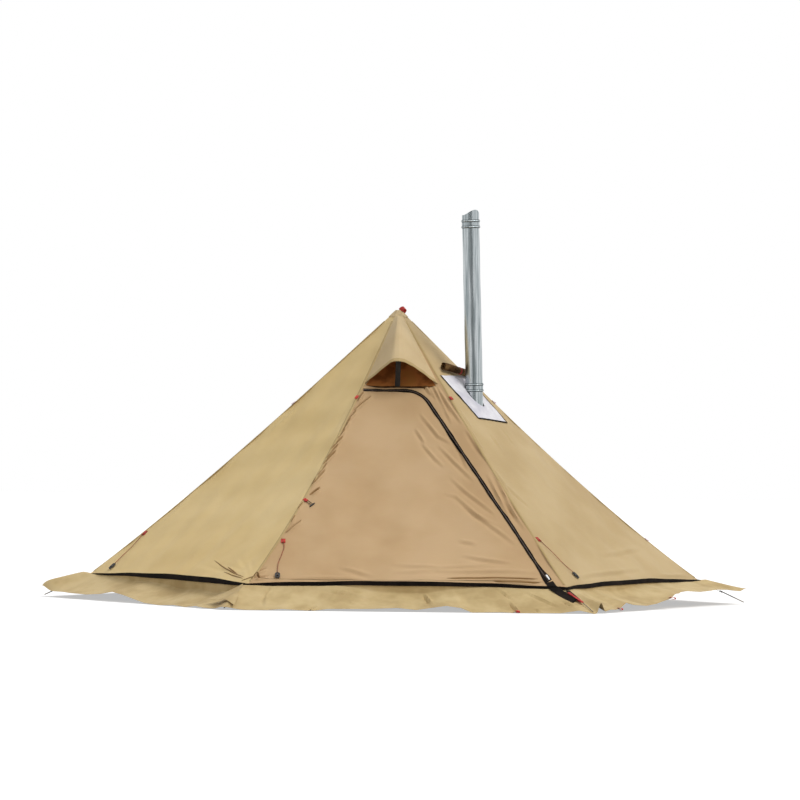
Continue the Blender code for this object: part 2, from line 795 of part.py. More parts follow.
def build_apex():
    """The stitched cap over the tops of the walls, and the hanging loop on it."""
    def point(u, v):
        place = u * SIDE_COUNT
        side = min(int(place + GAP), SIDE_COUNT - 1)
        rise = CAP_BOTTOM_SHARE + (CAP_TOP_SHARE - CAP_BOTTOM_SHARE) * v
        return cloth_point(side, place - side, rise, 0.0) + Vector((0.0, 0.0, CAP_LIFT))

    bm = bmesh.new()
    bm.from_mesh(grid_mesh("apex_cap", point, SIDE_COUNT * 6, 3, weld=True))
    rim_height = HEM_HEIGHT + CANOPY_RISE * (CAP_TOP_SHARE - GAP)
    rim = [
        edge for edge in bm.edges
        if edge.is_boundary and min(vert.co.z for vert in edge.verts) > rim_height
    ]
    bmesh.ops.holes_fill(bm, edges=rim, sides=0)
    bmesh.ops.recalc_face_normals(bm, faces=bm.faces)
    mesh = bpy.data.meshes.new("apex_cap")
    bm.to_mesh(mesh)
    bm.free()
    cap = add_part("apex_cap", mesh, "tan cloth")
    thicken(cap, CAP_THICKNESS, 1)
    top = HEM_HEIGHT + CANOPY_RISE * CAP_TOP_SHARE + CAP_LIFT + CAP_THICKNESS
    outer = HANG_LOOP_RADIUS
    inner = HANG_LOOP_RADIUS - HANG_LOOP_THICKNESS
    rim = arc((0.0, outer), outer, 0.0, math.tau * 23 / 24, 23)
    hole = arc((0.0, outer), inner, 0.0, math.tau * 23 / 24, 23)
    stand_up = Matrix.Rotation(math.pi / 2, 4, "X")
    stand_up.translation = (0.0, 0.0, top + GAP)
    loop = outline_curve("hang_loop", [rim, hole], HANG_LOOP_WIDTH)
    add_part("hang_loop", loop, "red webbing", stand_up)


# Flue axis and stove jack

JACK_HEIGHT = APEX_HEIGHT - JACK_DROP
JACK_BOTTOM = JACK_HEIGHT - JACK_LENGTH / 2
JACK_TOP = JACK_HEIGHT + JACK_LENGTH / 2
JACK_OFFSET = APOTHEM * (APEX_HEIGHT - JACK_HEIGHT) / CANOPY_RISE - JACK_SETBACK
JACK_WIDTH = 2 * (half_width(JACK_TOP) - JACK_RIDGE_CLEARANCE)
ROLL_LENGTH = JACK_WIDTH - 2 * ROLL_END_INSET
JACK_POINT = side_heading(FRONT_RIGHT_SIDE) * JACK_OFFSET + Vector((0.0, 0.0, JACK_HEIGHT))
STOVE_TOP = STOVE_LEG_HEIGHT + STOVE_BODY_HEIGHT
PIPE_FOOT_HEIGHT = STOVE_TOP + GAP + PIPE_RADIUS * math.sin(PIPE_LEAN)
PIPE_FOOT = Vector((
    JACK_POINT.x + (JACK_HEIGHT - PIPE_FOOT_HEIGHT) * math.tan(PIPE_LEAN), JACK_POINT.y, PIPE_FOOT_HEIGHT
))
FLUE = Matrix.Translation(PIPE_FOOT) @ Matrix.Rotation(-PIPE_LEAN, 4, "Y")
PIPE_LENGTH = (PIPE_TOP_HEIGHT - PIPE_FOOT_HEIGHT) / math.cos(PIPE_LEAN)
JACK_LEFT = JACK_SHIFT - JACK_WIDTH / 2
JACK_RIGHT = JACK_SHIFT + JACK_WIDTH / 2


def flue_cutter(name, radius):
    """A long rod on the flue's axis."""
    return add_cutter(name, rod_mesh(name, radius, PIPE_LENGTH, 32, base_at_zero=True), FLUE)


def build_jack():
    """The wall with the flue's hole, the heat-proof patch, its binding and the rolled rain flap."""
    wall = JACK_FACE.sheet("wall_front_right")
    combine(wall, flue_cutter("wall_hole_cut", PIPE_RADIUS + WALL_HOLE_CLEARANCE), "DIFFERENCE")

    def point(u, v):
        along = JACK_LEFT + JACK_WIDTH * u
        return JACK_FACE.at(along, JACK_BOTTOM + JACK_LENGTH * v, TAPE_LIFT)

    patch = add_part("jack_panel", grid_mesh("jack_panel", point, 12, 10), "heat cloth")
    thicken(patch, JACK_THICKNESS, 1)
    combine(patch, flue_cutter("jack_hole_cut", PIPE_RADIUS + JACK_HOLE_CLEARANCE), "DIFFERENCE")

    corners = [
        (JACK_LEFT, JACK_TOP),
        (JACK_LEFT, JACK_BOTTOM),
        (JACK_RIGHT, JACK_BOTTOM),
        (JACK_RIGHT, JACK_TOP),
    ]
    path = []
    for start, end in zip(corners, corners[1:]):
        path += [tuple(Vector(start).lerp(Vector(end), step / 8)) for step in range(8)]
    path.append(corners[-1])
    sizes = (TAPE_LIFT, JACK_THICKNESS, "black webbing")
    ribbon("jack_binding", JACK_FACE, path, -BINDING_WIDTH, -GAP, *sizes)

    centre_line = []
    for step in range(13):
        along = ROLL_LENGTH * (step / 12 - 0.5)
        height = JACK_TOP + ROLL_RISE + along * ROLL_SLOPE_SHARE
        lift = ROLL_RADIUS + TAPE_LIFT + JACK_THICKNESS + 2 * GAP
        centre_line.append(JACK_FACE.at(along, height, lift))
    roll = wire_curve("jack_flap_roll", centre_line, ROLL_RADIUS, 4)
    add_part("jack_flap_roll", roll, "rolled cloth")


# Flue pipe, its rings and damper

DAMPER_HEIGHT = 0.330
DAMPER_CLEARANCE = 0.003
DAMPER_THICKNESS = 0.0015
SPINDLE_RADIUS = 0.0025
SPINDLE_CLEARANCE = 0.0005
SPINDLE_REACH = 0.016
HANDLE_LENGTH = 0.040
HANDLE_RADIUS = 0.0045


def build_pipe():
    """The rolled flue pipe, whose end edge climbs round it, and the rings that hold it rolled."""
    segments = 44
    bm = bmesh.new()
    bmesh.ops.create_cone(
        bm, cap_ends=False, segments=segments, radius1=PIPE_RADIUS, radius2=PIPE_RADIUS, depth=PIPE_LENGTH
    )
    bmesh.ops.translate(bm, verts=bm.verts, vec=(0.0, 0.0, PIPE_LENGTH / 2))
    for vert in bm.verts:
        if vert.co.z > PIPE_LENGTH / 2:
            turn = math.atan2(vert.co.y, vert.co.x)
            vert.co.z += PIPE_LIP_RISE * max(math.cos(turn + math.pi / 3), 0.0) ** 2
    mesh = bpy.data.meshes.new("stove_pipe")
    bm.to_mesh(mesh)
    bm.free()
    smooth(mesh)
    pipe = add_part("stove_pipe", mesh, "steel", FLUE)
    thicken(pipe, PIPE_WALL, -1)
    across = FLUE @ Matrix.Translation((0.0, 0.0, DAMPER_HEIGHT)) @ Matrix.Rotation(math.pi / 2, 4, "Y")
    bore = rod_mesh("spindle_bore", SPINDLE_RADIUS + SPINDLE_CLEARANCE, 4 * PIPE_RADIUS, 12)
    combine(pipe, add_cutter("spindle_bore", bore, across), "DIFFERENCE")
    build_ring("pipe_band_top", PIPE_LENGTH - TOP_RING_DROP)
    build_ring("pipe_band_jack", (JACK_HEIGHT - PIPE_FOOT_HEIGHT) / math.cos(PIPE_LEAN) + JACK_RING_RISE)


def build_ring(name, base):
    """A sleeve with two rolled beads round the pipe."""
    inner = PIPE_RADIUS + GAP
    outer = inner + PIPE_WALL
    middle = BAND_RING_HEIGHT / 2
    profile = [(outer, BAND_RING_HEIGHT)]
    for bead in (middle + BEAD_SPACING / 2, middle - BEAD_SPACING / 2):
        top, bottom = math.pi / 2, -math.pi / 2
        profile += [(outer + x, bead + z) for x, z in arc((0.0, 0.0), BEAD_RADIUS, top, bottom, 3)]
    profile += [(outer, 0.0), (inner, 0.0), (inner, BAND_RING_HEIGHT)]
    place = FLUE @ Matrix.Translation((0.0, 0.0, base))
    turned(name, profile, 32, "steel", place, hollow=True)


def build_damper():
    """The butterfly plate in the pipe, with its spindle and handle."""
    place = FLUE @ Matrix.Translation((0.0, 0.0, DAMPER_HEIGHT))
    plate_radius = PIPE_RADIUS - PIPE_WALL - DAMPER_CLEARANCE
    plate = rod_mesh("damper", plate_radius, DAMPER_THICKNESS, 32)
    damper = add_part("damper", plate, "stove steel", place)
    along = place @ Matrix.Rotation(math.pi / 2, 4, "Y")
    reach = PIPE_RADIUS + SPINDLE_REACH
    spindle = rod_mesh("spindle_shape", SPINDLE_RADIUS, 2 * reach, 12)
    combine(damper, add_cutter("spindle_shape", spindle, along), "UNION")
    handle_place = place @ Matrix.Translation((reach, 0.0, 0.0)) @ Matrix.Rotation(math.pi / 2, 4, "X")
    handle = rod_mesh("handle_shape", HANDLE_RADIUS, HANDLE_LENGTH, 12)
    combine(damper, add_cutter("handle_shape", handle, handle_place), "UNION")


# Centre pole

APEX_UNDER_CAP = HEM_HEIGHT + CANOPY_RISE * CAP_TOP_SHARE + CAP_LIFT


def build_pole():
    """The telescopic pole: rubber foot, lower tube with its clamp collar, and upper tube with its tip."""
    foot = [
        (0.0, POLE_FOOT_HEIGHT),
        (POLE_FOOT_RADIUS * 0.8, POLE_FOOT_HEIGHT),
        (POLE_FOOT_RADIUS, POLE_FOOT_HEIGHT / 2),
        (POLE_FOOT_RADIUS, 0.0),
        (0.0, 0.0),
    ]
    turned("pole_foot", foot, 28, "rubber")
    bottom = POLE_FOOT_HEIGHT + GAP
    bore = POLE_RADIUS - POLE_WALL
    lower = [
        (POLE_COLLAR_RADIUS, POLE_JOINT_HEIGHT),
        (POLE_COLLAR_RADIUS, POLE_JOINT_HEIGHT - POLE_COLLAR_LENGTH),
        (POLE_RADIUS, POLE_JOINT_HEIGHT - POLE_COLLAR_LENGTH),
        (POLE_RADIUS, bottom),
        (bore, bottom),
        (bore, POLE_JOINT_HEIGHT),
    ]
    turned("pole_lower", lower, 24, "aluminium", hollow=True)
    upper_radius = bore - POLE_CLEARANCE
    upper_bore = upper_radius - POLE_WALL
    upper_bottom = POLE_JOINT_HEIGHT - POLE_OVERLAP
    tip = APEX_UNDER_CAP - GAP
    shoulder = tip - POLE_TIP_LENGTH
    upper = [
        (0.0, tip),
        (POLE_TIP_RADIUS, tip),
        (POLE_TIP_RADIUS, shoulder),
        (upper_radius, shoulder - POLE_TIP_RADIUS),
        (upper_radius, upper_bottom),
        (upper_bore, upper_bottom),
        (upper_bore, shoulder - POLE_TIP_LENGTH),
        (0.0, shoulder - POLE_TIP_LENGTH),
    ]
    turned("pole_upper", upper, 24, "aluminium")


# Stove

STOVE_REAR = PIPE_FOOT.y + FLUE_SETBACK
STOVE_FRONT = STOVE_REAR - STOVE_LENGTH
STOVE_CENTRE = Vector((
    PIPE_FOOT.x, (STOVE_REAR + STOVE_FRONT) / 2, STOVE_LEG_HEIGHT + STOVE_BODY_HEIGHT / 2
))
STOVE_DOOR_WIDTH = DOOR_MOUTH_WIDTH + 2 * STOVE_DOOR_LAP
STOVE_DOOR_HEIGHT = DOOR_MOUTH_HEIGHT + 2 * STOVE_DOOR_LAP
HINGE_X = PIPE_FOOT.x - STOVE_DOOR_WIDTH / 2 - HINGE_BARREL_RADIUS
HINGE_Y = STOVE_FRONT - GAP - HINGE_BARREL_RADIUS
LATCH_THICKNESS = 0.0040
LATCH_LENGTH = 0.046
LATCH_WIDTH = 0.012
LATCH_X = PIPE_FOOT.x + STOVE_DOOR_WIDTH / 2 - LATCH_WIDTH
KEEPER_OVERLAP = 0.004
KEEPER_POST = 0.005
AIR_SLIDE_WIDTH = 0.070
AIR_SLIDE_HEIGHT = 0.020
AIR_HOLE_PITCH = 0.025
AIR_HOLE_RADIUS = 0.0065
LUG_OUT = STOVE_WIDTH / 2 - LUG_SIZE * 1.5
LUG_DROP = 0.009
LUG_CLEARANCE = 0.0005
LEG_STUB = 0.030


def stove_box(name, size, centre):
    """A box-shaped tool in the stove's place."""
    return add_cutter(name, box_mesh(name, size, centre))


def build_stove():
    """The firebox with its flue collar, door knuckles and leg lugs."""
    outer = (STOVE_WIDTH, STOVE_LENGTH, STOVE_BODY_HEIGHT)
    stove = add_part("stove_body", box_mesh("stove_body", outer, STOVE_CENTRE), "stove steel")
    collar_place = Matrix.Translation((PIPE_FOOT.x, PIPE_FOOT.y, STOVE_TOP - STOVE_WALL))
    collar_height = FLUE_COLLAR_HEIGHT + STOVE_WALL
    collar = rod_mesh("collar_shape", FLUE_COLLAR_RADIUS, collar_height, 32, base_at_zero=True)
    combine(stove, add_cutter("collar_shape", collar, collar_place), "UNION")
    for height in (-1, 1):
        z = STOVE_CENTRE.z + height * (STOVE_DOOR_HEIGHT + KNUCKLE_LENGTH + 4 * GAP) / 2
        place = Matrix.Translation((HINGE_X, HINGE_Y, z))
        name = "knuckle_%d" % (height + 1)
        knuckle = rod_mesh(name, HINGE_BARREL_RADIUS, KNUCKLE_LENGTH, 12)
        combine(stove, add_cutter(name, knuckle, place), "UNION")
        tab_size = (HINGE_BARREL_RADIUS, 2 * HINGE_BARREL_RADIUS, KNUCKLE_LENGTH)
        tab_centre = (HINGE_X, HINGE_Y + HINGE_BARREL_RADIUS, z)
        combine(stove, stove_box(name + "_tab", tab_size, tab_centre), "UNION")
    for number, (y, x) in enumerate(leg_lugs()):
        lug_centre = (x, y, STOVE_LEG_HEIGHT - LUG_SIZE / 2 + STOVE_WALL / 2)
        lug_size = (LUG_SIZE / 2, LUG_SIZE, LUG_SIZE + STOVE_WALL)
        combine(stove, stove_box("lug_%d" % number, lug_size, lug_centre), "UNION")
    hook_back = STOVE_FRONT - STOVE_DOOR_THICKNESS - LATCH_THICKNESS - 4 * GAP
    post_x = LATCH_X + LATCH_WIDTH * 1.5 + KEEPER_OVERLAP + 2 * GAP + KEEPER_POST / 2
    post_depth = STOVE_FRONT - hook_back + STOVE_DOOR_THICKNESS
    post_centre = (post_x, STOVE_FRONT - post_depth / 2 + STOVE_WALL / 2, STOVE_CENTRE.z)
    post_size = (KEEPER_POST, post_depth + STOVE_WALL, LATCH_WIDTH)
    combine(stove, stove_box("keeper_post", post_size, post_centre), "UNION")
    hook_size = (3 * KEEPER_POST, STOVE_DOOR_THICKNESS, LATCH_WIDTH)
    hook_centre = (post_x - KEEPER_POST, hook_back - STOVE_DOOR_THICKNESS / 2, STOVE_CENTRE.z)
    combine(stove, stove_box("keeper_hook", hook_size, hook_centre), "UNION")
    inner = tuple(length - 2 * STOVE_WALL for length in outer)
    combine(stove, stove_box("firebox_cut", inner, STOVE_CENTRE), "DIFFERENCE")
    bore_length = FLUE_COLLAR_HEIGHT + 4 * STOVE_WALL
    bore_place = Matrix.Translation((PIPE_FOOT.x, PIPE_FOOT.y, STOVE_TOP - 2 * STOVE_WALL))
    bore = rod_mesh("collar_bore", FLUE_COLLAR_RADIUS - STOVE_WALL, bore_length, 32, base_at_zero=True)
    combine(stove, add_cutter("collar_bore", bore, bore_place), "DIFFERENCE")
    mouth = (DOOR_MOUTH_WIDTH, 4 * STOVE_WALL, DOOR_MOUTH_HEIGHT)
    combine(stove, stove_box("mouth_cut", mouth, (PIPE_FOOT.x, STOVE_FRONT, STOVE_CENTRE.z)), "DIFFERENCE")
    for number, y in enumerate(leg_axes()):
        lie_down = Matrix.Translation((PIPE_FOOT.x, y, STOVE_LEG_HEIGHT - LUG_DROP + LEG_WIRE_RADIUS))
        lie_down = lie_down @ Matrix.Rotation(math.pi / 2, 4, "Y")
        hole = rod_mesh("pivot_hole", LEG_WIRE_RADIUS + LUG_CLEARANCE, 2 * STOVE_WIDTH, 12)
        combine(stove, add_cutter("pivot_hole_%d" % number, hole, lie_down), "DIFFERENCE")


def leg_axes():
    """Y of the front and rear leg pivots."""
    return STOVE_FRONT + LEG_INSET, STOVE_REAR - LEG_INSET


def leg_lugs():
    """Y and X of the four lugs that the legs pivot in."""
    return [(y, PIPE_FOOT.x + side * LUG_OUT) for y in leg_axes() for side in (-1, 1)]


def build_legs():
    """The two folding wire legs."""
    pivot_height = STOVE_LEG_HEIGHT - LUG_DROP + LEG_WIRE_RADIUS
    half = STOVE_WIDTH / 2
    drop = pivot_height - LEG_WIRE_RADIUS
    bend = 4 * LEG_WIRE_RADIUS
    for name, y in zip(("stove_leg_front", "stove_leg_rear"), leg_axes()):
        half_path = [(half - LEG_STUB, 0.0)]
        half_path += arc((half - bend, -bend), bend, math.pi / 2, 0.0, 4)
        half_path += arc((half - bend, -drop + bend), bend, 0.0, -math.pi / 2, 4)
        path = half_path + [(-x, z) for x, z in reversed(half_path)]
        points = [Vector((x, 0.0, z)) for x, z in path]
        matrix = Matrix.Translation((PIPE_FOOT.x, y, pivot_height))
        add_part(name, wire_curve(name, points, LEG_WIRE_RADIUS), "stove steel", matrix)


def build_stove_door():
    """The stove's door with its hinge barrel and air holes, the latch lever and the air slide."""
    door_back = STOVE_FRONT - GAP
    size = (STOVE_DOOR_WIDTH, STOVE_DOOR_THICKNESS, STOVE_DOOR_HEIGHT)
    centre = (PIPE_FOOT.x, door_back - STOVE_DOOR_THICKNESS / 2, STOVE_CENTRE.z)
    door = add_part("stove_door", box_mesh("stove_door", size, centre), "stove steel")
    barrel = rod_mesh("barrel_shape", HINGE_BARREL_RADIUS, STOVE_DOOR_HEIGHT, 12)
    barrel_place = Matrix.Translation((HINGE_X, HINGE_Y, STOVE_CENTRE.z))
    combine(door, add_cutter("barrel_shape", barrel, barrel_place), "UNION")
    leaf_size = (2 * HINGE_BARREL_RADIUS, STOVE_DOOR_THICKNESS, STOVE_DOOR_HEIGHT)
    leaf_centre = (HINGE_X + HINGE_BARREL_RADIUS, centre[1], STOVE_CENTRE.z)
    combine(door, stove_box("leaf_shape", leaf_size, leaf_centre), "UNION")
    slide_height = STOVE_CENTRE.z - STOVE_DOOR_HEIGHT / 2 + 2 * STOVE_DOOR_LAP
    for number in (-1, 0, 1):
        lie = Matrix.Translation((PIPE_FOOT.x + number * AIR_HOLE_PITCH, centre[1], slide_height))
        lie = lie @ Matrix.Rotation(math.pi / 2, 4, "X")
        hole = rod_mesh("air_hole", AIR_HOLE_RADIUS, 4 * STOVE_DOOR_THICKNESS, 16)
        combine(door, add_cutter("air_hole_%d" % (number + 1), hole, lie), "DIFFERENCE")
    front = door_back - STOVE_DOOR_THICKNESS - GAP
    lie = Matrix.Rotation(math.pi / 2, 4, "X")
    slide_place = Matrix.Translation((PIPE_FOOT.x, front - STOVE_WALL / 2, slide_height)) @ lie
    slide = outline_curve("air_slide_plate", air_slide_loops(), STOVE_WALL)
    mesh, matrix = curve_to_mesh(slide, slide_place)
    plate = add_part("stove_air_slide", mesh, "stove steel", matrix)
    knob_place = Matrix.Translation((PIPE_FOOT.x, front - 2 * STOVE_WALL, slide_height)) @ lie
    knob = rod_mesh("air_knob", STOVE_WALL * 1.5, 4 * STOVE_WALL, 12)
    combine(plate, add_cutter("air_knob", knob, knob_place), "UNION")
    latch_place = Matrix.Translation((LATCH_X, front - LATCH_THICKNESS / 2, STOVE_CENTRE.z)) @ lie
    end = LATCH_WIDTH / 2
    tail = (0.0, LATCH_LENGTH - LATCH_WIDTH)
    lever = arc((0.0, 0.0), end, -math.pi, 0.0, 8) + arc(tail, end, 0.0, math.pi, 8)
    mesh, matrix = curve_to_mesh(outline_curve("latch_plate", [lever], LATCH_THICKNESS), latch_place)
    latch = add_part("stove_latch", mesh, "stove steel", matrix)
    reach = LATCH_WIDTH + KEEPER_OVERLAP
    tongue_end = arc((0.0, 0.0), end, math.pi / 2, math.pi * 3 / 2, 8)
    tongue_end += arc((reach, 0.0), end, -math.pi / 2, math.pi / 2, 8)
    mesh, matrix = curve_to_mesh(outline_curve("latch_tongue", [tongue_end], LATCH_THICKNESS), latch_place)
    combine(latch, add_cutter("latch_tongue", mesh, matrix), "UNION")
    grip_y = front - LATCH_THICKNESS - LATCH_WIDTH / 2
    grip_place = Matrix.Translation((LATCH_X, grip_y, STOVE_CENTRE.z + tail[1])) @ lie
    grip = rod_mesh("latch_grip", LATCH_WIDTH / 3, LATCH_WIDTH + LATCH_THICKNESS, 12)
    combine(latch, add_cutter("latch_grip", grip, grip_place), "UNION")


def air_slide_loops():
    """The air slide's outline and its holes, which meet the door's holes when it is pushed across."""
    loops = [rounded_rectangle(AIR_SLIDE_WIDTH, AIR_SLIDE_HEIGHT, AIR_SLIDE_HEIGHT / 5, 2)]
    for number in (-1, 1):
        centre = (number * AIR_HOLE_PITCH / 2, 0.0)
        loops.append(arc(centre, AIR_HOLE_RADIUS, 0.0, math.tau * 15 / 16, 15))
    return loops


# Guy points, cords, toggles and pegs

# Each guy point: its side, then distance from the ridge and height of its tab, then of its tensioner
GUY_POINTS = {
    "left": (FRONT_LEFT_FACE, (0.040, 0.337), (0.147, 0.163)),
    "front_left": (FRONT_FACE, (0.064, 0.333), (0.128, 0.163)),
    "front_right": (JACK_FACE, (0.038, 0.355), (0.171, 0.176)),
}
TIEBACK_PLACE = (0.090, 0.522)


def beside_ridge(distance, height):
    """A place on a side at a height, by its distance from the side's left ridge."""
    return distance - half_width(height), height


def build_guy_point(name):
    """A webbing tab beside a ridge, with its cord hanging down the cloth and the tensioner on its end."""
    face, tab_place, lock_place = GUY_POINTS[name]
    tab = beside_ridge(*tab_place)
    lock = beside_ridge(*lock_place)
    tab_seat = face.seat(*tab, TAB_WIDTH, TAB_LENGTH, TAB_LIFT + WEBBING / 2)
    outline = rounded_rectangle(TAB_WIDTH, TAB_LENGTH, TAB_WIDTH / 5, 2)
    plate = outline_curve("guy_tab_" + name, [outline], WEBBING)
    add_part("guy_tab_" + name, plate, "red webbing", tab_seat)

    lock_seat = face.seat(*lock, LOCK_WIDTH, LOCK_LENGTH, LOCK_LIFT + LOCK_THICKNESS / 2)
    loops = [rounded_rectangle(LOCK_WIDTH, LOCK_LENGTH, LOCK_WIDTH * 0.48, 5)]
    for radius, shift in zip(LOCK_HOLE_RADII, LOCK_HOLE_SHIFTS):
        loops.append(arc((0.0, shift), radius, 0.0, math.tau * 15 / 16, 15))
    plate = outline_curve("cord_lock_" + name, loops, LOCK_THICKNESS)
    add_part("cord_lock_" + name, plate, "black plastic", lock_seat)

    above = WEBBING / 2 + CORD_RADIUS + 2 * GAP
    low = CORD_RADIUS + CORD_LIFT
    x, y = tab
    way_x, way_y = lock[0] - x, lock[1] - y
    route = [
        tab_seat @ Vector((0.0, 0.0, above)),
        tab_seat @ Vector((0.0, -TAB_LENGTH / 2, above)),
        face.at(x + CORD_SWAY, y - TAB_LENGTH, low),
        face.at(x + way_x * 0.4 + CORD_SWAY, y + way_y * 0.4, low),
        face.at(x + way_x * 0.7 - CORD_SWAY, y + way_y * 0.65, low),
        lock_seat @ Vector((0.0, LOCK_LENGTH / 2 + 2 * GAP, 0.0)),
    ]
    points = smooth_route(route, CORD_STEPS)
    add_part("guy_cord_" + name, wire_curve("guy_cord_" + name, points, CORD_RADIUS), "red cord")


def build_tieback():
    """The elastic loop and toggle that hold the door when it is turned back."""
    lift = TOGGLE_RADIUS + TAB_LIFT
    place = beside_ridge(*TIEBACK_PLACE)
    seat = FRONT_FACE.seat(*place, TIEBACK_LENGTH, TIEBACK_LENGTH, lift)
    matrix = seat @ Matrix.Rotation(TIEBACK_SLANT, 4, "Z")
    loops = [
        rounded_rectangle(TIEBACK_WIDTH - inset, TIEBACK_LENGTH - inset, (TIEBACK_WIDTH - inset) * 0.48, 4)
        for inset in (0.0, 2 * TIEBACK_BAND)
    ]
    mesh, matrix = curve_to_mesh(outline_curve("tieback_loop", loops, TIEBACK_BAND), matrix)
    tieback = add_part("door_tieback", mesh, "black plastic", matrix)
    end = matrix @ Matrix.Translation((0.0, -TIEBACK_LENGTH / 2, 0.0))
    lie = end @ Matrix.Rotation(math.pi / 2, 4, "Y")
    bar = add_cutter("toggle_bar", rod_mesh("toggle_bar", TOGGLE_RADIUS, TOGGLE_LENGTH, 12), lie)
    combine(tieback, bar, "UNION")


def build_corner(corner):
    """A corner's peg loop on the skirt and its peg."""
    name = CORNERS[corner]
    out = corner_heading(corner)
    top = skirt_corner(corner, 0.0)
    slope = (skirt_corner(corner, 1.0) - top).normalized()
    side = Vector((0.0, 0.0, 1.0)).cross(out)
    normal = slope.cross(side).normalized()
    start = top + slope * (BAND_THICKNESS + 2 * GAP) + normal * (GAP + WEBBING / 2)
    middle = start + slope * LOOP_LENGTH / 2
    outline = rounded_rectangle(LOOP_LENGTH, LOOP_WIDTH, LOOP_WIDTH / 5, 2)
    slot_x = LOOP_LENGTH / 2 - LOOP_SLOT * 1.5
    slot = [(slot_x + x, y) for x, y in rounded_rectangle(LOOP_SLOT, LOOP_WIDTH / 2, LOOP_SLOT / 4, 2)]
    matrix = axes_matrix(middle, slope, side, normal)
    strap = outline_curve("corner_loop_" + name, [outline, slot], WEBBING)
    add_part("corner_loop_" + name, strap, "black webbing", matrix)
    head = middle + slope * slot_x
    above = WEBBING / 2 + PEG_RADIUS + 2 * GAP
    bend = PEG_RADIUS * 1.3
    points = [head - normal * WEBBING / 4]
    points += [
        head + slope * (bend - x) + normal * (above - bend + z)
        for x, z in arc((0.0, 0.0), bend, 0.0, math.pi / 2, 4)
    ]
    rest = PEG_RADIUS + GAP - WEBBING / 2
    points.append(head + slope * PEG_LENGTH + normal * rest)
    add_part("peg_" + name, wire_curve("peg_" + name, points, PEG_RADIUS), "steel")


def skirt_corner(corner, drop):
    """A point of the skirt's corner seam."""
    out = BAND_LIFT + BAND_THICKNESS / 2 + SKIRT_WIDTH * drop
    level = CORNER_RADIUS + out / math.cos(HALF_TURN_OF_SIDE)
    top_height = HEM_HEIGHT - HEM_BAND / 2 - GAP
    height = CLOTH + (top_height - CLOTH) * (1 - drop)
    return corner_heading(corner) * level + Vector((0.0, 0.0, height))


def main():
    """Build every piece."""
    build_walls()
    build_hem_band()
    build_skirts()
    build_front()
    build_slider()
    build_vent_mesh()
    hood_tree = build_hood()
    build_prop(hood_tree)
    build_apex()
    build_jack()
    build_pipe()
    build_damper()
    build_pole()
    build_stove()
    build_legs()
    build_stove_door()
    for name in GUY_POINTS:
        build_guy_point(name)
    build_tieback()
    for corner in range(SIDE_COUNT):
        build_corner(corner)


main()
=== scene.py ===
"""Looks of the hot tent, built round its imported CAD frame: sewn cloth walls, door, vent hood, snow skirt,
stove jack, flue pipe, guy points, centre pole and box stove. Metres, +Z up, the door faces -Y.
"""

import logging
import math
from copy import deepcopy
from dataclasses import dataclass, field
from enum import Enum
from typing import Any, Iterable, Optional, Sequence

import bpy
import numpy as np
from mathutils import Matrix, Vector
from numpy.typing import NDArray


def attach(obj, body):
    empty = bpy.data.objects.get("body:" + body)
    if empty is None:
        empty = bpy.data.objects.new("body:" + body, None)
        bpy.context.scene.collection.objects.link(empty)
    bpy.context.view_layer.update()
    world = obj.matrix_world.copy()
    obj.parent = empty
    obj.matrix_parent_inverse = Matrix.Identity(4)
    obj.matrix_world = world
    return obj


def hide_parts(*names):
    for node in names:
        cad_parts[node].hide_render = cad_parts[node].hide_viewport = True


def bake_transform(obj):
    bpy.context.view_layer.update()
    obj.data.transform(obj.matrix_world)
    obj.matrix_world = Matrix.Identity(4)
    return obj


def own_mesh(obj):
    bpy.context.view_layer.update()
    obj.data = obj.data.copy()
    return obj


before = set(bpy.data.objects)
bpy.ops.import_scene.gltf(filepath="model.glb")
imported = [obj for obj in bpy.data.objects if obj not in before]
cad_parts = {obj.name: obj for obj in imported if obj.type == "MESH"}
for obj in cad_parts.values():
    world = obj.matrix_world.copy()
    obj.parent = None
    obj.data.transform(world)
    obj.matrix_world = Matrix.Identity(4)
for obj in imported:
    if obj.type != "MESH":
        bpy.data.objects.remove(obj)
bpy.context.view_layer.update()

Array = NDArray[np.float64]
Faces = NDArray[np.int64]
Place = tuple[float, float]
Spot = tuple[float, float, float]
# Numbers that belong together by twos or threes, written flat
Line = tuple[float, ...]
Lines = tuple[Line, ...]
Piece = bpy.types.Object
Socket = bpy.types.NodeSocket
Tree = bpy.types.NodeTree
MM = 0.001
WHITE = (1.0, 1.0, 1.0, 1.0)
UP = np.array((0.0, 0.0, 1.0))
FRONT, FRONT_RIGHT, REAR_RIGHT, REAR, REAR_LEFT, FRONT_LEFT = range(6)
SIDE_NAMES = ("front", "front_right", "rear_right", "rear", "rear_left", "front_left")
CORNER_NAMES = ("front_left", "front_right", "right", "rear_right", "rear_left", "left")
log = logging.getLogger("hot_tent")


# Node and colour helpers


def linear(colour: str) -> tuple[float, float, float, float]:
    """Turns an sRGB hex colour into linear values.

    Args:
        colour: A hash and six hex digits.

    Returns:
        Linear red, green, blue and an alpha of 1.
    """
    values = [int(colour[start:start + 2], 16) / 255 for start in (1, 3, 5)]
    red, green, blue = (
        value / 12.92 if value <= 0.04045 else ((value + 0.055) / 1.055) ** 2.4 for value in values
    )
    return (red, green, blue, 1.0)


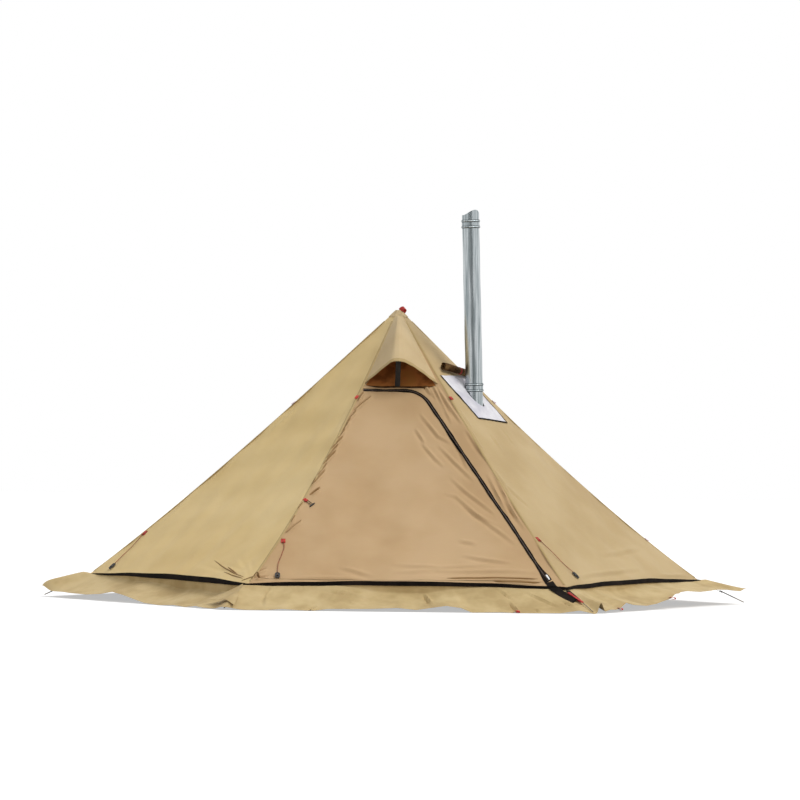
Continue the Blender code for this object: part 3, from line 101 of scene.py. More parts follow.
def add_node(
    tree: Tree, kind: str, links: Optional[dict[Any, Any]] = None, out: str | int = 0, **settings: Any
) -> Socket:
    """Adds a node with its settings, values and links.

    Args:
        tree: The node tree that gets the node.
        kind: The node's type name.
        links: Input sockets, by name or number, each with a value or another node's output.
        out: The output to give back, by name or number.
        settings: Properties of the node itself.

    Returns:
        The new node's output.
    """
    node = tree.nodes.new(kind)
    for name, value in settings.items():
        setattr(node, name, value)
    for socket, value in (links or {}).items():
        if isinstance(value, Socket):
            tree.links.new(value, node.inputs[socket])
        else:
            node.inputs[socket].default_value = value
    return node.outputs[out]


# Finishes: each one is a real material and the way its surface was made, some with painted light and shade


class Pattern(Enum):
    """How a textile's surface was made."""

    PLAIN_WEAVE = "plain"
    RIBBED_WEBBING = "ribbed"
    KNITTED_MESH = "mesh"
    BRAID = "braid"
    GLASS_TWILL = "twill"


@dataclass(frozen=True)
class Finish:
    """A material of the tent, with the record's slot it belongs to."""

    name: str
    slot: str

    def start(self, **values: Any) -> tuple[bpy.types.Material, Tree]:
        """Makes a material with one Principled shader.

        Args:
            values: Constants for the shader's sockets, with underscores for spaces.

        Returns:
            The material and its node tree.
        """
        material = bpy.data.materials.new(self.name)
        material.use_nodes = True
        shader = material.node_tree.nodes["Principled BSDF"]
        for name, value in values.items():
            shader.inputs[name.replace("_", " ")].default_value = value
        return material, material.node_tree

    def join(
        self, tree: Tree, colour: Socket, grain: Socket, rough: Place, height: Socket, bump: Place
    ) -> None:
        """Joins the colour, the gloss and the relief to the shader.

        Args:
            tree: The material's nodes.
            colour: The colour.
            grain: What the gloss follows.
            rough: The roughness at the grain's 0 and 1.
            height: The relief.
            bump: How strong the relief is, and its depth in millimetres.
        """
        gloss = add_node(tree, "ShaderNodeMapRange", {"Value": grain, "To Min": rough[0], "To Max": rough[1]})
        relief = add_node(tree, "ShaderNodeBump", {
            "Strength": bump[0], "Distance": bump[1] * MM, "Height": height,
        })
        inputs = tree.nodes["Principled BSDF"].inputs
        for socket, value in (("Base Color", colour), ("Roughness", gloss), ("Normal", relief)):
            tree.links.new(value, inputs[socket])

    def build(self) -> bpy.types.Material:
        """Makes the material."""
        return self.start()[0]


@dataclass(frozen=True)
class Textile(Finish):
    """Woven, knitted or braided polyester, nylon or glass fibre, its threads along the piece's map."""

    colour: str
    shade: str
    tint: str
    pattern: Pattern = Pattern.PLAIN_WEAVE
    thread_mm: float = 1.6
    patch_mm: float = 420.0
    relief_mm: float = 0.10
    roughness: float = 0.62
    sheen: float = 0.15
    shine: float = 0.35
    grid_mm: float = 0.0
    stitch_rows: tuple[float, ...] = ()
    stitch_mm: float = 4.0
    thread_colour: str = "#A8905F"

    def build(self) -> bpy.types.Material:
        """Makes the textile: soft patches of tone, threads as bump, and stitches where it is sewn.

        Returns:
            The material.
        """
        material, tree = self.start(
            Sheen_Weight=self.sheen, Sheen_Roughness=0.45, Specular_IOR_Level=self.shine
        )
        place = add_node(tree, "ShaderNodeUVMap", uv_map="cloth")
        patches = add_node(tree, "ShaderNodeTexNoise", {
            "Vector": add_node(tree, "ShaderNodeTexCoord", out="Object"), "Scale": 1000 / self.patch_mm,
            "Detail": 3.0, "Roughness": 0.55,
        })
        tone = add_node(tree, "ShaderNodeValToRGB", {"Fac": patches})
        stops = tone.node.color_ramp.elements
        stops.new(0.5)
        for stop, position, colour in zip(stops, (0.36, 0.5, 0.64), (self.shade, self.colour, self.tint)):
            stop.position, stop.color = position, linear(colour)
        # Slubs: threads that are a little thicker or paler than the rest, stretched along the weft
        stretch = add_node(tree, "ShaderNodeMapping", {"Vector": place, "Scale": (9.0, 120.0, 1.0)})
        slubs = add_node(tree, "ShaderNodeTexNoise", {"Vector": stretch, "Scale": 3.0, "Detail": 2.0}, "Fac")
        colour = add_node(tree, "ShaderNodeMix", {
            "Factor": 0.08, "A": tone, "B": slubs.node.outputs["Color"],
        }, "Result", data_type="RGBA", blend_type="SOFT_LIGHT")
        height = self.threads(tree, place)
        if self.grid_mm:
            height = self.grid(tree, place, height)
        for row in self.stitch_rows:
            colour, height = self.stitches(tree, place, row, colour, height)
        rough = (self.roughness - 0.07, self.roughness + 0.07)
        self.join(tree, colour, slubs, rough, height, (0.55, self.relief_mm))
        return material

    def threads(self, tree: Tree, place: Socket) -> Socket:
        """Draws the threads. They are coarser than the real 0.2 to 0.4 mm, or they would not show.

        Args:
            tree: The material's nodes.
            place: The piece's map, in metres.

        Returns:
            The threads' height.
        """
        turns = {Pattern.GLASS_TWILL: 0.6, Pattern.BRAID: 0.8, Pattern.KNITTED_MESH: 0.785}
        if self.pattern is Pattern.BRAID:
            # A cord is a curve without the piece's map, so its braid runs through space
            place = add_node(tree, "ShaderNodeTexCoord", out="Object")
        turn = add_node(tree, "ShaderNodeMapping", {
            "Vector": place, "Rotation": (0.0, 0.0, turns.get(self.pattern, 0.0)),
        })
        # A wave texture has one crest each pi / 10 at scale 1
        scale = math.pi / 10 / (self.thread_mm * MM)
        weft = 0.35 if self.pattern is Pattern.RIBBED_WEBBING else 1.0
        waves = {
            number: add_node(tree, "ShaderNodeTexWave", {
                "Vector": turn, "Scale": scale * share, "Distortion": 0.4,
            }, "Fac", bands_direction=axis)
            for number, axis, share in ((0, "X", 1.0), (1, "Y", weft))
        }
        joining = "MAXIMUM" if self.pattern is Pattern.KNITTED_MESH else "ADD"
        return add_node(tree, "ShaderNodeMath", waves, operation=joining)

    def grid(self, tree: Tree, place: Socket, height: Socket) -> Socket:
        """Adds the thicker ripstop threads, which stand up in a square grid.

        Args:
            tree: The material's nodes.
            place: The piece's map, in metres.
            height: The height so far.

        Returns:
            The new height.
        """
        size = self.grid_mm * MM
        squares = add_node(tree, "ShaderNodeTexBrick", {
            "Vector": place, "Scale": 1.0, "Brick Width": size, "Row Height": size,
            "Mortar Size": 0.06 * size,
        }, "Fac", offset=0.0)
        return add_node(tree, "ShaderNodeMath", {0: squares, 1: 1.4, 2: height}, operation="MULTIPLY_ADD")

    def stitches(
        self, tree: Tree, place: Socket, row: float, colour: Socket, height: Socket
    ) -> tuple[Socket, Socket]:
        """Adds one row of lockstitches along the piece's map.

        Args:
            tree: The material's nodes.
            place: The piece's map, in metres.
            row: Where the row runs across the strip, in metres.
            colour: The colour so far.
            height: The height so far.

        Returns:
            The new colour and height.
        """
        parts = add_node(tree, "ShaderNodeSeparateXYZ", {"Vector": place}).node.outputs
        band, dash = parts["Y"], parts["X"]
        for work, amount in (("SUBTRACT", row), ("ABSOLUTE", 0.0), ("LESS_THAN", 0.7 * MM)):
            band = add_node(tree, "ShaderNodeMath", {0: band, 1: amount}, operation=work)
        for work, amount in (("MULTIPLY", 1 / (self.stitch_mm * MM)), ("FRACT", 0.0), ("LESS_THAN", 0.7)):
            dash = add_node(tree, "ShaderNodeMath", {0: dash, 1: amount}, operation=work)
        thread = add_node(tree, "ShaderNodeMath", {0: band, 1: dash}, operation="MULTIPLY")
        mixed = add_node(tree, "ShaderNodeMix", {
            "Factor": thread, "A": colour, "B": linear(self.thread_colour),
        }, "Result", data_type="RGBA")
        raised = add_node(tree, "ShaderNodeMath", {0: thread, 1: 3.0, 2: height}, operation="MULTIPLY_ADD")
        return mixed, raised


@dataclass(frozen=True)
class Metal(Finish):
    """Sheet, wire, cast or drawn metal with its rolling lines and heat colours."""

    colour: str
    dark: str
    roughness: float
    line_mm: float
    lengthwise: float = 40.0
    anisotropy: float = 0.4
    relief_mm: float = 0.02
    heat: str = ""

    def build(self) -> bpy.types.Material:
        """Makes the metal: long rolling lines in tone, gloss and relief, and cloudy heat colours.

        Returns:
            The material.
        """
        material, tree = self.start(Metallic=1.0, Anisotropic=self.anisotropy)
        space = add_node(tree, "ShaderNodeTexCoord", out="Object")
        # The lines run along Z, the way the sheet went through the rolls; on the flue they are also painted
        # reflection streaks
        pulled = (1.0, 1.0, 1 / self.lengthwise)
        drawn = add_node(tree, "ShaderNodeMapping", {"Vector": space, "Scale": pulled})
        lines = add_node(tree, "ShaderNodeTexNoise", {
            "Vector": drawn, "Scale": 1000 / self.line_mm, "Detail": 4.0, "Roughness": 0.6,
        }, "Fac")
        colour = add_node(tree, "ShaderNodeValToRGB", {"Fac": lines})
        stops = colour.node.color_ramp.elements
        for stop, position, shade in zip(stops, (0.33, 0.62), (self.dark, self.colour)):
            stop.position, stop.color = position, linear(shade)
        if self.heat:
            clouds = add_node(tree, "ShaderNodeTexNoise", {
                "Vector": space, "Scale": 9.0, "Detail": 3.0,
            }, "Fac")
            share = add_node(tree, "ShaderNodeMapRange", {
                "Value": clouds, "From Min": 0.5, "From Max": 0.72, "To Max": 0.7,
            })
            colour = add_node(tree, "ShaderNodeMix", {
                "Factor": share, "A": colour, "B": linear(self.heat),
            }, "Result", data_type="RGBA")
        rough = (self.roughness + 0.10, self.roughness - 0.08)
        self.join(tree, colour, lines, rough, lines, (0.4, self.relief_mm))
        return material


@dataclass(frozen=True)
class Polymer(Finish):
    """Moulded plastic or rubber: one colour through the mass, a fine spark-eroded grain and handling wear."""

    colour: str
    worn: str
    roughness: float
    grain_mm: float = 1.5
    relief_mm: float = 0.05

    def build(self) -> bpy.types.Material:
        """Makes the moulded surface.

        Returns:
            The material.
        """
        material, tree = self.start(IOR=1.5)
        space = add_node(tree, "ShaderNodeTexCoord", out="Object")
        grain, wear = (
            add_node(tree, "ShaderNodeTexNoise", {"Vector": space, "Scale": scale, "Detail": detail}, "Fac")
            for scale, detail in ((1000 / self.grain_mm, 2.0), (60.0, 3.0))
        )
        share = add_node(tree, "ShaderNodeMapRange", {"Value": wear, "From Min": 0.52, "From Max": 0.7})
        mixed = add_node(tree, "ShaderNodeMix", {
            "Factor": share, "A": linear(self.colour), "B": linear(self.worn),
        }, "Result", data_type="RGBA")
        rough = (self.roughness - 0.08, self.roughness + 0.08)
        self.join(tree, mixed, grain, rough, grain, (0.5, self.relief_mm))
        return material


def ripstop(name: str, colour: str, shade: str, tint: str, **more: Any) -> Textile:
    """Silicone-coated ripstop polyester in given colours: matt, with a faint square grid."""
    usual = {"grid_mm": 6.0, "sheen": 0.05, "shine": 0.12}
    return Textile(name, "tan_cloth", colour, shade, tint, **{**usual, **more})


@dataclass(frozen=True)
class Palette:
    """Every finish of the tent, built once."""

    # The left wall's copy of the cloth, paler: painted light, as bright as the front though less key lamp
    # falls on it
    canopy: Textile = ripstop("ripstop_left_wall_painted_light", "#E1C68E", "#DBBF86", "#E6CC96")
    # The tucks' copy of the front's cloth, much darker: painted shade on the folds
    shaded_tuck_cloth: Textile = ripstop("ripstop_tucks_painted_shade", "#9F8058", "#91734C", "#AD8F66", shine=0.05)
    # The hood's copy of the cloth, also on the apex cap, paler: painted light where they face up
    lit_hood_cloth: Textile = ripstop("ripstop_hood_painted_light", "#CCB48A", "#C5AC81", "#D2BB92")
    # The right and rear walls' copy of the cloth, darker: painted shade against the key lamp that falls on
    # them
    shaded_right_cloth: Textile = ripstop("ripstop_right_walls_painted_shade", "#C1A87C", "#BBA175", "#C7AF84")
    # The front's copy of the same cloth, a little redder: its tone is painted light and shade, set to how the
    # front is lit
    front_cloth_painted_tone: Textile = ripstop("ripstop_front_painted_tone", "#C4A47B", "#BE9D74", "#C9AA82")
    # The same cloth where two layers are felled together with two rows of thread
    seam: Textile = ripstop(
        "felled_ripstop_seam", "#BDA475", "#B69C6C", "#C4AC7E", grid_mm=0.0, stitch_rows=(0.003, 0.009)
    )
    # The skirt's cloth: darker as painted shade, since it lies flat under the lamps; patchier in tone
    skirt: Textile = ripstop("ripstop_skirt_painted_shade", "#C7AF7F", "#B89F70", "#D0B98A", patch_mm=160.0)
    # Polypropylene webbing: deep black ribs that stay matt
    black_webbing: Textile = Textile(
        "ribbed_black_webbing", "black_webbing", "#171210", "#0E0B0A", "#241D1A", Pattern.RIBBED_WEBBING,
        thread_mm=2.5, patch_mm=90.0, relief_mm=0.5, roughness=0.8, sheen=0.0, shine=0.08,
    )
    # Zip tape: a finer black twill with a dull brownish sheen
    zip_tape: Textile = Textile(
        "woven_zip_tape", "black_webbing", "#1A1411", "#110D0B", "#2A221E",
        thread_mm=1.8, patch_mm=60.0, relief_mm=0.3, roughness=0.8, sheen=0.0, shine=0.05,
    )
    # Nylon coil: smooth and dark, glossy on each turn; its pale taupe tone is a painted highlight
    coil_painted_highlight: Polymer = Polymer("nylon_coil_painted_highlight", "black_webbing", "#55483F", "#6E6055", 0.35, 0.8, 0.02)
    # Red webbing, so that loops and tabs are found again
    red_webbing: Textile = Textile(
        "ribbed_red_webbing", "red_webbing", "#B5231B", "#951A15", "#C93A2C", Pattern.RIBBED_WEBBING,
        thread_mm=2.0, patch_mm=30.0, relief_mm=0.4, roughness=0.65,
    )
    # Knitted insect mesh, brown: no gloss, small holes; brightened as painted light from the sun through the
    # walls behind
    mesh: Textile = Textile(
        "knitted_mesh_painted_light", "brown_mesh", "#BC763A", "#8C4F1C", "#B87838", Pattern.KNITTED_MESH,
        thread_mm=3.0, patch_mm=120.0, relief_mm=0.6, roughness=0.85, sheen=0.0,
    )
    # Glass fibre cloth with a silicone coat: pale, cool and slightly glossy
    glass_cloth: Textile = Textile(
        "coated_glass_fibre_cloth", "heat_cloth", "#D9D6DC", "#C9C7D0", "#E6E4E8", Pattern.GLASS_TWILL,
        thread_mm=3.0, patch_mm=90.0, relief_mm=0.2, roughness=0.5, shine=0.5,
    )
    # The rain flap's back is proofed in a dark olive brown
    flap_cloth: Textile = Textile(
        "proofed_flap_cloth", "rolled_cloth", "#5A4024", "#352211", "#7A5E3A",
        thread_mm=1.8, patch_mm=40.0, relief_mm=0.3, roughness=0.75, sheen=0.0, shine=0.08,
    )
    # Braided polyester cord, rust red
    cord: Textile = Textile(
        "braided_polyester_cord", "cord", "#8E3B24", "#6E2A18", "#A34A30", Pattern.BRAID,
        thread_mm=1.2, patch_mm=20.0, relief_mm=0.3, roughness=0.7,
    )
    # Rolled stainless foil: cool and bright; its dark lines are partly rolling lines, partly painted
    # reflection streaks
    flue_steel: Metal = Metal(
        "rolled_foil_painted_streaks", "pipe_steel", "#CDD3D5", "#7F8B8E", 0.28, 9.0, relief_mm=0.008
    )
    # Dark, dull steel for the rings beside the beads: painted shade in the crimps
    crimp_shade_steel: Metal = Metal("crimp_rings_painted_shade", "pipe_steel", "#5A6264", "#33393A", 0.6, 4.0)
    # Titanium-grey stove sheet that has been fired: straw and blue clouds
    stove_sheet: Metal = Metal(
        "fired_stove_sheet", "stove_steel", "#8B8781", "#5B5853", 0.42, 4.0, 6.0, heat="#7A5A3C"
    )
    # Drawn and anodised tube: satin, even
    pole_tube: Metal = Metal(
        "anodised_aluminium_tube", "pole_aluminium", "#C4C6C8", "#A3A6A9", 0.3, 2.0, 80.0
    )
    # Bent wire, rubbed by soil and hands
    peg_wire: Metal = Metal("bent_steel_wire", "peg_steel", "#8A8074", "#5C5247", 0.42, 3.0, 3.0)
    # Die-cast zinc slider with a nickel plate
    slider: Metal = Metal(
        "plated_zinc_casting", "zip_metal", "#DADADA", "#A9A9A9", 0.22, 2.0, 2.0, 0.0, 0.008
    )
    # Glass-filled nylon for tensioners, toggle and vent prop
    nylon: Polymer = Polymer("moulded_black_nylon", "black_plastic", "#131211", "#26231F", 0.6)
    # Natural rubber foot, dusty
    rubber: Polymer = Polymer("moulded_rubber", "pole_rubber", "#1E1D1B", "#3C3833", 0.8, 2.0, 0.15)


PALETTE = Palette()
BUILT: dict[str, bpy.types.Material] = {}


def dress(obj: Piece, finish: Finish) -> Piece:
    """Gives a piece its finish.

    Args:
        obj: The piece, or a CAD node that stays.
        finish: The finish from the palette.

    Returns:
        The same piece.
    """
    if finish.name not in BUILT:
        BUILT[finish.name] = finish.build()
    if not obj.data.materials:
        obj.data.materials.append(BUILT[finish.name])
    for index in range(len(obj.data.materials)):
        obj.data.materials[index] = BUILT[finish.name]
    return obj


# Mesh helpers


def link(name: str, data: bpy.types.ID, matrix: Optional[Matrix] = None) -> Piece:
    """Puts a mesh or curve into the scene as a named piece.

    Args:
        name: Its name.
        data: The mesh, curve, lamp or camera.
        matrix: Where it goes.

    Returns:
        The new object.
    """
    obj = bpy.data.objects.new(name, data)
    bpy.context.scene.collection.objects.link(obj)
    if matrix is not None:
        obj.matrix_world = matrix
    return obj


def unit(vectors: Array) -> Array:
    """Vectors scaled to length 1."""
    return vectors / np.maximum(np.linalg.norm(vectors, axis=-1, keepdims=True), 1e-12)


def travelled(points: Array) -> Array:
    """How far along a path each of its points lies."""
    return np.concatenate(([0.0], np.cumsum(np.linalg.norm(np.diff(points, axis=0), axis=1))))


def spots_along(points: Array, goals: Array) -> Array:
    """The places at given distances along a path."""
    reach = travelled(points)
    return np.stack([np.interp(goals, reach, column) for column in points.T], -1)


def strip_map(along: Array, across: Array) -> Array:
    """The map of a strip, from its distances along and across."""
    return np.stack(np.broadcast_arrays(along[:, None], across[None]), -1).reshape(-1, 2)


def even_shares(columns: int, rows: int) -> tuple[Array, Array]:
    """Shares across and down a grid of points, row after row."""
    across, down = np.meshgrid(np.linspace(0, 1, columns), np.linspace(0, 1, rows))
    return across.ravel(), down.ravel()


def circle(count: int) -> Array:
    """Even angles once round."""
    return np.linspace(0, math.tau, count, endpoint=False)


def pairs(numbers: Line) -> Array:
    """Rows of two, from a flat line of thousandths."""
    return np.reshape(numbers, (-1, 2)) / 1000


def vertex_normals(points: Array, faces: Faces) -> Array:
    """Area-weighted normals of a mesh of quads.

    Args:
        points: One row a vertex.
        faces: One row a face, four vertices each.

    Returns:
        One unit normal a vertex.
    """
    corners = points[faces]
    normal = np.cross(corners[:, 2] - corners[:, 0], corners[:, 3] - corners[:, 1])
    total = np.zeros_like(points)
    for column in range(4):
        np.add.at(total, faces[:, column], normal)
    return unit(total)


def quads(rows: int, columns: int, ring: bool = False, loop: bool = False) -> Faces:
    """Faces of a grid of points.

    Args:
        rows: Rows of points.
        columns: Points in a row.
        ring: Whether the last point of a row joins the first.
        loop: Whether the last row joins the first.

    Returns:
        One row a face.
    """
    row, column = np.meshgrid(
        np.arange(rows if loop else rows - 1), np.arange(columns if ring else columns - 1), indexing="ij"
    )
    this, following, after = row * columns, (row + 1) % rows * columns, (column + 1) % columns
    return np.stack((this + column, this + after, following + after, following + column), -1).reshape(-1, 4)


def mesh_object(
    name: str, points: Array, faces: Iterable[Sequence[int]], uv: Optional[Array] = None, sharp: float = 40.0
) -> Piece:
    """Makes a shaded mesh piece with its map in metres.

    Args:
        name: The piece's name.
        points: One row a vertex.
        faces: The vertices of each face.
        uv: Each vertex's place on the cloth, in metres.
        sharp: Edges over this angle in degrees stay sharp.

    Returns:
        The new object.
    """
    mesh = bpy.data.meshes.new(name)
    mesh.from_pydata(np.asarray(points).tolist(), [], [list(map(int, face)) for face in faces])
    if uv is not None:
        layer = mesh.uv_layers.new(name="cloth")
        index = np.empty(len(mesh.loops), dtype=np.int64)
        mesh.loops.foreach_get("vertex_index", index)
        layer.data.foreach_set("uv", np.asarray(uv)[index].astype(np.float32).ravel())
    mesh.shade_smooth()
    mesh.set_sharp_from_angle(angle=math.radians(sharp))
    return link(name, mesh)


def shell(
    name: str, points: Array, faces: Faces, thickness: float, uv: Optional[Array] = None
) -> Piece:
    """Turns a surface of quads into a closed sheet that grows against its normals.

    Args:
        name: The piece's name.
        points: One row a vertex of the outer surface.
        faces: One row a quad, counterclockwise from outside.
        thickness: The sheet's thickness.
        uv: Each vertex's place on the cloth, in metres.

    Returns:
        The new object.
    """
    used, flat = np.unique(faces, return_inverse=True)
    faces = flat.reshape(faces.shape)
    points = points[used]
    uv = uv[used] if uv is not None else np.zeros((len(points), 2))
    count = len(points)
    inner = points - vertex_normals(points, faces) * thickness
    edges = np.concatenate([faces[:, [column, (column + 1) % 4]] for column in range(4)])
    keys = edges[:, 0] * count + edges[:, 1]
    open_edges = edges[~np.isin(keys, edges[:, 1] * count + edges[:, 0])]
    start, end = open_edges.T
    rims = np.stack((end, start, start + count, end + count), -1)
    whole = np.concatenate((faces, faces[:, ::-1] + count, rims))
    return mesh_object(name, np.concatenate((points, inner)), whole, np.concatenate((uv, uv)), 60.0)


def tube(name: str, path: Array, radius: Array, sides: int, ring: bool = False) -> Piece:
    """A round or tapering rod along a path.

    Args:
        name: The piece's name.
        path: Points of the centre line.
        radius: The radius at each point, or one for all.
        sides: Faces round the rod.
        ring: Whether the rod closes on itself.

    Returns:
        The new object.
    """
    path = np.asarray(path, float)
    radii = np.broadcast_to(np.asarray(radius, float), (len(path),))
    if ring:
        tangent = unit(np.roll(path, -1, 0) - np.roll(path, 1, 0))
    else:
        tangent = unit(np.gradient(path, axis=0))
    side = np.zeros_like(path)
    last = UP if abs(tangent[0] @ UP) < 0.9 else np.array((1.0, 0.0, 0.0))
    for index, along in enumerate(tangent):
        last = unit(last - along * (last @ along))
        side[index] = last
    other = np.cross(tangent, side)
    turn = circle(sides)
    around = side[:, None] * np.cos(turn)[:, None] + other[:, None] * np.sin(turn)[:, None]
    points = (path[:, None] + around * radii[:, None, None]).reshape(-1, 3)
    faces = quads(len(path), sides, ring=True, loop=ring).tolist()
    if not ring:
        faces += [list(range(sides))[::-1], [(len(path) - 1) * sides + k for k in range(sides)]]
    uv = np.stack(np.broadcast_arrays(travelled(path)[:, None], turn * radii[:, None]), -1).reshape(-1, 2)
    return mesh_object(name, points, faces, uv)


def smooth_step(value: Array) -> Array:
    """Eases from 0 at 0 to 1 at 1."""
    share = np.clip(value, 0.0, 1.0)
    return share * share * (3 - 2 * share)


def off_ends(share: Array, reach: float) -> Array:
    """Eases from 0 at both ends of a line to 1 within a reach."""
    return smooth_step(np.minimum(share, 1 - share) / reach)


def resampled(path: Sequence[Sequence[float]], step: float) -> Array:
    """The same path with points at even distances.

    Args:
        path: Its own points.
        step: The distance between new points.

    Returns:
        The new points.
    """
    points = np.asarray(path, float)
    length = travelled(points)[-1]
    return spots_along(points, np.linspace(0, length, max(int(round(length / step)), 1) + 1))


def crowded(count: int, amount: float, reach: float) -> Array:
    """Shares from 0 to 1 that crowd together near 0.

    Args:
        count: How many steps.
        amount: How much denser they are near 0.
        reach: How far the crowding goes.

    Returns:
        The shares.
    """
    even = np.linspace(0.0, 1.0, 500)
    density = 1 + amount * np.exp(-((even / reach) ** 2))
    total = np.concatenate(([0.0], np.cumsum((density[1:] + density[:-1]) / 2)))
    return np.interp(np.linspace(0.0, 1.0, count + 1), total / total[-1], even)


def smooth_path(knots: Sequence[Sequence[float]], count: int) -> Array:
    """Evenly spaced points on one smooth curve through the knots.

    Args:
        knots: The curve's own points.
        count: How many stretches it gets.

    Returns:
        The new points.
    """
    points = np.asarray(knots, float)
    ends = np.vstack((2 * points[0] - points[1], points, 2 * points[-1] - points[-2]))
    fine = []
    for before, start, end, after in zip(ends, ends[1:], ends[2:], ends[3:]):
        for share in np.arange(24) / 24:
            ease = share * share * (3 - 2 * share)
            slopes = (end - before) / 2 * share * (1 - share) ** 2
            slopes = slopes + (after - start) / 2 * share ** 2 * (share - 1)
            fine.append(start + (end - start) * ease + slopes)
    fine.append(points[-1])
    fine = np.array(fine)
    return spots_along(fine, np.linspace(0, travelled(fine)[-1], count + 1))


def moved_left(path: Array, distance: float | Array) -> Array:
    """A flat path moved to its left, with mitred corners.

    Args:
        path: Its points.
        distance: How far, one for all or one each.

    Returns:
        The moved points.
    """
    ahead = unit(np.diff(path, axis=0))
    first = np.vstack((ahead[:1], ahead))
    second = np.vstack((ahead, ahead[-1:]))
    left_first = np.stack((-first[:, 1], first[:, 0]), -1)
    left = unit(left_first + np.stack((-second[:, 1], second[:, 0]), -1))
    stretch = np.maximum((left * left_first).sum(1), 0.5)
    return path + left * (distance / stretch)[:, None]


def inside(polygon: Array, places: Array) -> NDArray[np.bool_]:
    """Whether each place is inside a closed polygon.

    Args:
        polygon: Its corners.
        places: The places.

    Returns:
        One answer a place.
    """
    x, y = places.T
    found = np.zeros(len(places), dtype=bool)
    for (x0, y0), (x1, y1) in zip(polygon, np.roll(polygon, -1, 0)):
        if y0 == y1:
            continue
        crosses = (y0 > y) != (y1 > y)
        found ^= crosses & (x < (x1 - x0) * (y - y0) / (y1 - y0) + x0)
    return found


def nearest_on(path: Array, places: Array, closed: bool) -> tuple[Array, Array, Array]:
    """The nearest points of a path.

    Args:
        path: The path's points.
        places: Where to measure from.
        closed: Whether the path joins its own start.

    Returns:
        The nearest points, the distances (positive to the path's left), and how far along the path each
        point is, from 0 to 1.
    """
    starts = path if closed else path[:-1]
    ends = np.roll(path, -1, 0) if closed else path[1:]
    lengths = np.linalg.norm(ends - starts, axis=1)
    reach = np.concatenate(([0.0], np.cumsum(lengths)))
    best = np.full(len(places), np.inf)
    spot = np.zeros_like(places)
    signed = np.zeros(len(places))
    along = np.zeros(len(places))
    for start, end, length, passed in zip(starts, ends, lengths, reach):
        if length < 1e-9:
            continue
        way = (end - start) / length
        offset = places - start
        travel = np.clip(offset @ way, 0.0, length)
        point = start + travel[:, None] * way
        gap = np.linalg.norm(places - point, axis=1)
        better = gap < best
        best = np.where(better, gap, best)
        spot[better] = point[better]
        side = way[0] * offset[:, 1] - way[1] * offset[:, 0]
        signed = np.where(better, gap * np.where(side >= 0, 1.0, -1.0), signed)
        along = np.where(better, (passed + travel) / reach[-1], along)
    return spot, signed, along


def cut_faces(
    places: Array, faces: Faces, outline: Array, keep_inside: bool, line: Optional[Array] = None
) -> Faces:
    """Keeps the faces inside or outside an outline, and moves the vertices on the cut onto it.

    Args:
        places: Flat places of the vertices, changed along the cut.
        faces: One row a quad.
        outline: A closed outline.
        keep_inside: Which part stays.
        line: The line that the cut edge is moved to, if it isn't the whole outline.

    Returns:
        The faces that stay.
    """
    kept = inside(outline, places[faces].mean(1)) == keep_inside
    shared = np.intersect1d(faces[kept], faces[~kept])
    goal = outline if line is None else line
    places[shared] = nearest_on(goal, places[shared], closed=line is None)[0]
    return faces[kept]


# The canopy's surface, with the same named values as the CAD


@dataclass(frozen=True)
class Canopy:
    """The sewn six-sided pyramid: its sizes and the smooth shape of its cloth."""

    corner_radius: float = 1.600
    height: float = 1.410
    hem_height: float = 0.120
    ridge_bow: float = 0.050
    bow_shares: tuple[float, ...] = (2.2, 0.6, 1.36, 1.0, 1.0, 0.82)
    bow_peak: float = 0.75
    side_sag: float = 0.020
    sag_shares: tuple[float, ...] = (1.0, -1.85, 1.0, 1.0, 1.0, 1.0)
    hem_arch: float = 0.015
    arch_fade: int = 4
    top_share: float = 0.972

    def corner_heading(self, corner: int) -> Array:
        """Level direction from the tent's axis to a corner."""
        angle = -2 * math.pi / 3 + math.pi / 3 * corner
        return np.array((math.cos(angle), math.sin(angle), 0.0))

    def side_heading(self, side: int) -> Array:
        """Level direction that a side faces."""
        return self.corner_heading(side + 0.5)

    @property
    def apothem(self) -> float:
        """Level distance from the axis to the middle of a side's hem."""
        return self.corner_radius * math.cos(math.pi / 6)

    def ridge(self, corner: int, rise: Array) -> Array:
        """Points on a ridge.

        Args:
            corner: The ridge's corner.
            rise: Shares of the height, 0 at the hem and 1 at the apex.

        Returns:
            One point a share.
        """
        rise = np.asarray(rise, float)
        bow = self.ridge_bow * self.bow_shares[corner % 6]
        bow = bow * np.sin(np.pi * np.clip(rise, 0, 1) ** self.bow_peak)
        level = (self.corner_radius * (1 - rise) - bow)[..., None] * self.corner_heading(corner)
        level[..., 2] = self.hem_height + self.height * rise
        return level

    def cloth(self, side: int, share: Array, rise: Array) -> Array:
        """Points on a side's smooth outer face.

        Args:
            side: The side.
            share: Shares across it, counterclockwise.
            rise: Shares of the height.

        Returns:
            One point a place.
        """
        start, end = self.ridge(side, rise), self.ridge(side + 1, rise)
        point = start + (end - start) * np.asarray(share)[..., None]
        hollow = 4 * share * (1 - share)
        sag = self.side_sag * self.sag_shares[side] * hollow * np.sin(np.pi * np.asarray(rise))
        point = point - self.side_heading(side) * sag[..., None]
        point[..., 2] += self.hem_arch * hollow * (1 - rise) ** self.arch_fade
        return point

    def hem(self, side: int, share: Array) -> Array:
        """Points of a side's hem line, on it or on past it.

        Args:
            side: The side.
            share: Shares along it.

        Returns:
            One point a share.
        """
        share = np.asarray(share, float)
        start, end = self.corner_heading(side), self.corner_heading(side + 1)
        point = (start + (end - start) * share[..., None]) * self.corner_radius
        point[..., 2] = self.hem_height + self.hem_arch * 4 * share * (1 - share)
        return point


CANOPY = Canopy()


